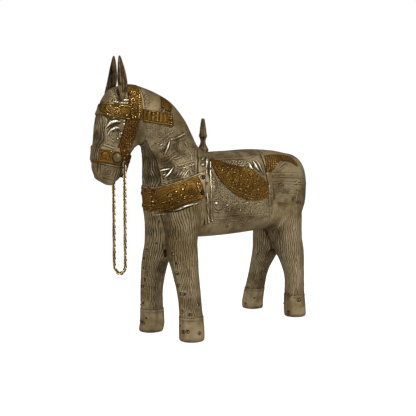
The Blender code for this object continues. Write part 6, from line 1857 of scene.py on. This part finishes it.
CROUP_DRAWING = [
    *[ridge(0.7, 0.45, [(267.6 + 2.1 * k, 157.4 + 0.1 * k), (268.4 + 2.1 * k, 163),
                        (268.8 + 2.1 * k, 168.6)]) for k in range(5)],
    beads(2.0, 0.8, 0.35, [(265.4, 158), (266.2, 165), (267.4, 171)]), dome(267.4, 170.2, 1.3, 0.4),
    dome(276.4, 163.4, 1.1, 0.7),
    foliage(263, 154, 300, 173, 3.0, 0.3, 52), stipple(262, 152, 300, 173, 1.8, -0.3),
]
seen_plate("croup_cover", barrel, [(264.0, 156.0), (270, 155.2), (276, 155.0), (281, 155.6)],
           [(266.0, 172.0), (271.4, 171.6), (276.6, 164.6), (280.8, 160.6)], (46, 40),
           chased(CROUP_DRAWING, 0.3), ["croup_plate"], flow=REAR_FLOW)
seen_plate("croup_band", barrel, [(280.6, 155.4), (284, 155.8), (290.4, 158.0), (298.0, 165.2)],
           [(280.6, 160.6), (286.8, 161.0), (292.2, 163.2), (297.6, 166.6)], (50, 18),
           chased([foliage(280, 154, 300, 168, 3.0, 0.35, 53)], 0.2), ["croup_strap_{}"], OVER_LIFT,
           flow=REAR_FLOW)
seen_plate("crest_cover", neck, [(160.4, 97.0), (164, 99.4), (168, 103.0), (171.4, 106.6)],
           [(160.8, 106.6), (163.6, 108.8), (167, 110.8), (170.6, 111.6)], (34, 26),
           chased([foliage(159, 95, 173, 113, 3.0, 0.3, 54), stipple(159, 95, 173, 113, 1.8, -0.3)], 0.15),
           ["crest_patch"], OVER_LIFT)


# Ears and tail, carved from wood
def carved(name, ribs, angles, stations, relief, replaced):
    """A carved solid on ribs of its own, closed at both ends."""
    loft = Loft(ribs)
    u = np.linspace(0, loft.last, stations)[:, None]
    v = np.linspace(0, 2 * math.pi, angles, endpoint=False)[None, :]
    points = loft.bare(u, v)
    normals = outward_normals(loft, u, points, True)
    height = relief(u, v)
    height[[0, -1]] = 0
    points = points + normals * height[..., None] * 0.001
    points[0] = points[0].mean(0)
    points[-1] = points[-1].mean(0)
    raised = np.clip((height - softened(height, 6, True)) * 2.2, -0.5, 0.5)
    if np.sum(normals_of(points, True)[stations // 2, 0] * normals[stations // 2, 0]) < 0:
        points, raised = points[::-1], raised[::-1]
    mesh = mesh_from_grid(name, points, True, None, {"raised": raised}, (True, True))
    return add_piece(name, mesh, WOOD, [replaced])


EAR_X = -0.1610
EAR_FOOT = 0.2583
EAR_HEIGHT = 0.0425
EAR_ROWS = [
    # share of the height, x from the ear's middle, y, half length, half thickness
    (-0.10, -0.0046, 0.0130, 0.0004, 0.0004),
    (0.02, -0.0038, 0.0126, 0.0024, 0.0016),
    (0.082, -0.0030, 0.0120, 0.0036, 0.0021),
    (0.212, -0.0015, 0.0102, 0.0051, 0.0027),
    (0.329, -0.0003, 0.0086, 0.0057, 0.0031),
    (0.518, 0.0002, 0.0072, 0.0052, 0.0029),
    (0.706, 0.0000, 0.0061, 0.0039, 0.0023),
    (0.871, -0.0003, 0.0051, 0.0023, 0.0016),
    (0.965, -0.0005, 0.0046, 0.0012, 0.0010),
    (1.000, -0.0005, 0.0043, 0.0003, 0.0003),
]
for ear_name, side in (("left", -1), ("right", 1)):
    def ear_relief(u, v, side=side):
        """The hollow down the ear's outer face, with a bead of wood left in it, and the knife's facets."""
        turn = np.angle(np.exp(1j * (v - side * 0.5 * math.pi)))
        window = ease(u, 1.8, 3.0) * (1 - ease(u, 7.2, 8.4))
        hollow = -1.7 * np.exp(-(turn / 0.55) ** 4) + 1.0 * np.exp(-((turn - 0.05) / 0.20) ** 2)
        return hollow * window + 0.22 * hammered(v * 3.0, u * 4.0, 1.1, 101)

    ear_ribs = [(EAR_X + x - reach, EAR_FOOT + share * EAR_HEIGHT, EAR_X + x + reach,
                 EAR_FOOT + share * EAR_HEIGHT,
                 half, 2.2, 0.0, 0.0, side * y) for share, x, y, reach, half in EAR_ROWS]
    carved(f"ear_leaf_{ear_name}", ear_ribs, 72, 130, ear_relief, f"ear_{ear_name}")


def tail_relief(u, v):
    """Strands of hair down the tail, twisted a little on the way."""
    return 0.45 * np.abs(np.sin(4.5 * (v + 0.18 * u))) + 0.18 * hammered(v * 5, u * 12, 1.2, 111)


TAIL_RIBS = [
    # front x, z, back x, z, half width, squareness
    (0.1175, 0.1822, 0.1215, 0.1826, 0.0012, 2.2, 0.0, 0.0),
    (0.1160, 0.1790, 0.1237, 0.1805, 0.0028, 2.2, 0.0, 0.0),
    (0.1190, 0.1700, 0.1323, 0.1720, 0.0040, 2.2, 0.0, 0.0),
    (0.1220, 0.1560, 0.1357, 0.1560, 0.0048, 2.2, 0.0, 0.0),
    (0.1210, 0.1400, 0.1355, 0.1400, 0.0050, 2.2, 0.0, 0.0),
    (0.1190, 0.1240, 0.1326, 0.1230, 0.0046, 2.2, 0.0, 0.0),
    (0.1180, 0.1090, 0.1286, 0.1080, 0.0037, 2.2, 0.0, 0.0),
    (0.1190, 0.0990, 0.1241, 0.0985, 0.0018, 2.2, 0.0, 0.0),
    (0.1205, 0.0968, 0.1222, 0.0966, 0.0004, 2.2, 0.0, 0.0),
]
carved("tail_strands", TAIL_RIBS, 90, 200, tail_relief, "tail")


# Turned pieces: the finial, the bosses, the pins and the nails
def turned(name, profile, sides, centre, axis, material, replaced=(), body="horse", relief=None):
    """A turned solid: a smooth profile of radius and height from tip to foot, swung about an axis."""
    line = np.array(profile)
    r, h = line[:, 0], line[:, 1]
    angle = np.linspace(0, 2 * math.pi, sides, endpoint=False)
    axis = np.array(axis, float) / np.linalg.norm(axis)
    one = np.cross(axis, (0, 0, 1) if abs(axis[2]) < 0.9 else (1, 0, 0))
    one /= np.linalg.norm(one)
    two = np.cross(axis, one)
    out = one * np.cos(angle)[:, None] + two * np.sin(angle)[:, None]
    height = np.zeros((len(r), sides)) if relief is None else relief(h[:, None], angle[None, :])
    height[[0, -1]] = 0
    points = np.array(centre) + axis * h[:, None, None] + out[None] * (r[:, None] + height * 0.001)[..., None]
    raised = np.clip((height - softened(height, 4, True)) * 2.2, -0.5, 0.5)
    probe = len(r) // 2
    if np.sum(normals_of(points, True)[probe, 0] * out[0]) < 0:
        points, raised = points[::-1], raised[::-1]
    mesh = mesh_from_grid(name, points, True, None, {"raised": raised}, (True, True))
    return add_piece(name, mesh, material, replaced, body)


def smooth_profile(points, count=6):
    """A profile through a few points, rounded, without going under a radius of 0."""
    line = smooth_line(points, count)
    return np.stack([np.clip(line[:, 0], 0, None), line[:, 1]], -1)


FINIAL_X = -0.0367 + SHIFT
FINIAL_TOP = float(first_past(barrel, np.array([0.0]), lambda points: FINIAL_X - points[..., 0])[0])
finial_seat = float(barrel.bare(FINIAL_TOP, 0.0)[2])
finial_tip = finial_seat + 0.0389
FINIAL_PROFILE = [
    # radius, depth under the tip
    (0.0, 0.0), (0.0014, 0.0003), (0.0021, 0.0013), (0.0026, 0.0050), (0.0033, 0.0105), (0.0041, 0.0168),
    (0.0046, 0.0190), (0.0045, 0.0205), (0.0036, 0.0222), (0.0030, 0.0245), (0.0029, 0.0262),
    (0.0034, 0.0288), (0.0047, 0.0315), (0.0059, 0.0340), (0.0062, 0.0354), (0.0058, 0.0368),
    (0.0058, 0.0384), (0.0060, 0.0409), (0.0, 0.0412),
]


def finial_relief(h, angle):
    """Flutes up the finial and the marks of the lathe."""
    return 0.30 * np.abs(np.sin(4 * angle)) * ease(finial_tip - h, 0.002,
                                                   0.006) + 0.10 * np.sin(h * 5200) - 0.12


turned("finial_turning", smooth_profile([(r, finial_tip - d) for r, d in FINIAL_PROFILE]), 48,
       (FINIAL_X, 0, 0), (0, 0, 1), WOOD, ["finial"], relief=finial_relief)


bpy.context.view_layer.update()
skins = [thing for thing in scene.objects if thing.type == "MESH" and thing.name not in nodes
         and thing.name != "rein_links"]


def hit(origin, direction):
    """The first skin point that a ray from outside meets, with the skin's normal there."""
    best = None
    for thing in skins:
        found, place, normal, _ = thing.ray_cast(Vector(origin), Vector(direction))
        if found:
            away = (place - Vector(origin)).length
            if best is None or away < best[0]:
                best = (away, np.array(place), np.array(normal))
    return best


def dome_profile(radius, height, foot):
    """Half a flattened ball over a short foot that stands in the sheet."""
    a = np.linspace(0, math.pi / 2, 12)
    ball = [(radius * math.sin(angle), height * math.cos(angle)) for angle in a]
    return [*ball, (radius, -foot), (0.0, -foot)]


for side_name, side in (("left", -1), ("right", 1)):
    _, boss_place, _ = hit((-0.1690 + SHIFT, side * 0.1, 0.1983), (0, -side, 0))
    boss_normal = np.array([-0.12, side, 0.05])
    turned(f"boss_dome_{side_name}", dome_profile(0.0056, 0.0042, 0.0012), 48, boss_place, boss_normal,
           BOSS_METAL, [f"noseband_boss_{side_name}"])
    pin_head = STRAND_Y + LINK_WIRE / 2 + 0.0003
    pin_profile = [(0.0, 0.0010), (0.0007, 0.0008), (0.0011, 0.0004), (0.0012, 0.0001), (0.0011, 0.0),
                   (0.0006, 0.0), (0.0006, -0.0060), (0.0, -0.0060)]
    turned(f"pin_{side_name}", pin_profile, 24, (REIN_X, side * pin_head, REIN_Z), (0, side, 0), IRON,
           [f"rein_pin_{side_name}"])


def nail_heads():
    """All nails as one mesh: a domed head on the skin at each place, seen from the camera, and mirrored."""
    profile = np.array([(0.0, 0.62), (0.45, 0.55), (0.80, 0.36), (1.0, 0.05), (1.0, -0.35), (0.0, -0.35)])
    sides = 12
    angle = np.linspace(0, 2 * math.pi, sides, endpoint=False)
    points, faces = [], []
    for x, y, radius in NAILS:
        sight = AHEAD + RIGHT * (x - HALF_VIEW) / FOCAL + UPWARD * (HALF_VIEW - y) / FOCAL
        found = hit(EYE, sight)
        if found is None:
            continue
        _, place, normal = found
        for turn_over in (1, -1):
            axis = normal * (1, turn_over, 1)
            middle = place * (1, turn_over, 1)
            one = np.cross(axis, (0.3, 0.2, 0.9))
            one /= np.linalg.norm(one)
            two = np.cross(axis, one)
            out = one * np.cos(angle)[:, None] + two * np.sin(angle)[:, None]
            rings = middle + radius * (axis * profile[1:-1, 1, None, None]
                                       + out * profile[1:-1, 0, None, None])
            start = len(points)
            points.extend(rings.reshape(-1, 3).tolist())
            points.extend([(middle + radius * axis * profile[0, 1]).tolist(),
                           (middle + radius * axis * profile[-1, 1]).tolist()])
            count = len(profile) - 2
            for k in range(sides):
                after = (k + 1) % sides
                faces.append((start + count * sides, start + k, start + after))
                faces.append((start + count * sides + 1, start + (count - 1) * sides + after,
                              start + (count - 1) * sides + k))
                faces.extend((start + r * sides + k, start + (r + 1) * sides + k,
                              start + (r + 1) * sides + after,
                              start + r * sides + after) for r in range(count - 1))
    mesh = bpy.data.meshes.new("nail_heads")
    mesh.from_pydata(points, [], faces)
    mesh.polygons.foreach_set("use_smooth", np.ones(len(faces), bool))
    mesh.update()
    return add_piece("nail_heads", mesh, IRON)


nail_heads()

FINISHES = {"carved_wood": WOOD, "white_metal": WHITE_METAL, "aged_brass": BRASS, "dark_iron": IRON}
for node in nodes.values():
    for place in node.material_slots:
        key = place.material.name.split(".")[0] if place.material else "carved_wood"
        place.material = FINISHES.get(key, WOOD)


# Floor, backdrop and light
def stage_sheet(name, corners, material):
    """A plain sheet of the stage."""
    mesh = bpy.data.meshes.new(name)
    mesh.from_pydata(corners, [], [(0, 1, 2, 3)])
    mesh.materials.append(material)
    thing = bpy.data.objects.new(name, mesh)
    scene.collection.objects.link(thing)
    return thing


def seen_rays(tree):
    """1 for the rays that see the background: from the camera, mirrored or through glass."""
    path = add_node(tree, "ShaderNodeLightPath")
    seen = computed(tree, "MAXIMUM", path.outputs["Is Camera Ray"], path.outputs["Is Glossy Ray"])
    return computed(tree, "MAXIMUM", seen, path.outputs["Is Transmission Ray"])


floor_material, tree, shader = new_material("pale_floor")
shader.inputs["Base Color"].default_value = (0.8, 0.8, 0.8, 1.0)
shader.inputs["Roughness"].default_value = 0.9
shadowed = add_node(tree, "ShaderNodeBsdfDiffuse", (("Color", (0.36, 0.36, 0.36, 1.0)),))
white = add_node(tree, "ShaderNodeEmission", (("Color", (1.0, 1.0, 1.0, 1.0)), ("Strength", 0.90)))
both_parts = add_node(tree, "ShaderNodeAddShader", ((0, shadowed.outputs[0]), (1, white.outputs[0])))
mix = add_node(tree, "ShaderNodeMixShader",
               ((0, seen_rays(tree)), (1, shader.outputs[0]), (2, both_parts.outputs[0])))
tree.links.new(mix.outputs[0], tree.nodes["Material Output"].inputs["Surface"])
stage_sheet("floor", [(-6, -6, -0.0002), (6, -6, -0.0002), (6, 6, -0.0002), (-6, 6, -0.0002)], floor_material)

world = bpy.data.worlds.new("studio")
scene.world = world
world.use_nodes = True
tree = world.node_tree
ground = tree.nodes["Background"]
ground.inputs["Color"].default_value = (1.0, 1.0, 1.0, 1.0)
ground.inputs["Strength"].default_value = 0.45
bright = add_node(tree, "ShaderNodeBackground", (("Color", (1.0, 1.0, 1.0, 1.0)), ("Strength", 1.0)))
mix = add_node(tree, "ShaderNodeMixShader",
               ((0, seen_rays(tree)), (1, ground.outputs[0]), (2, bright.outputs[0])))
tree.links.new(mix.outputs[0], tree.nodes["World Output"].inputs["Surface"])


def soft_light(name, place, target, size, power):
    """A square lamp at a place, turned to a target."""
    data = bpy.data.lights.new(name, "AREA")
    data.shape = "SQUARE"
    data.size = size
    data.energy = power
    lamp = bpy.data.objects.new(name, data)
    scene.collection.objects.link(lamp)
    lamp.location = place
    away = np.array(place) - np.array(target)
    flat = math.hypot(away[0], away[1])
    lamp.rotation_euler = (math.atan2(flat, away[2]), 0.0, math.atan2(away[0], -away[1]))
    return lamp


soft_light("key_light", (0.3, -1.3, 1.0), (0, 0, 0.15), 0.7, 16)
soft_light("fill_light", (-1.4, -0.3, 0.6), (0, 0, 0.15), 0.9, 6)
soft_light("top_light", (0.0, 0.1, 1.5), (0, 0, 0.15), 1.0, 8)

scene.view_settings.view_transform = "Standard"
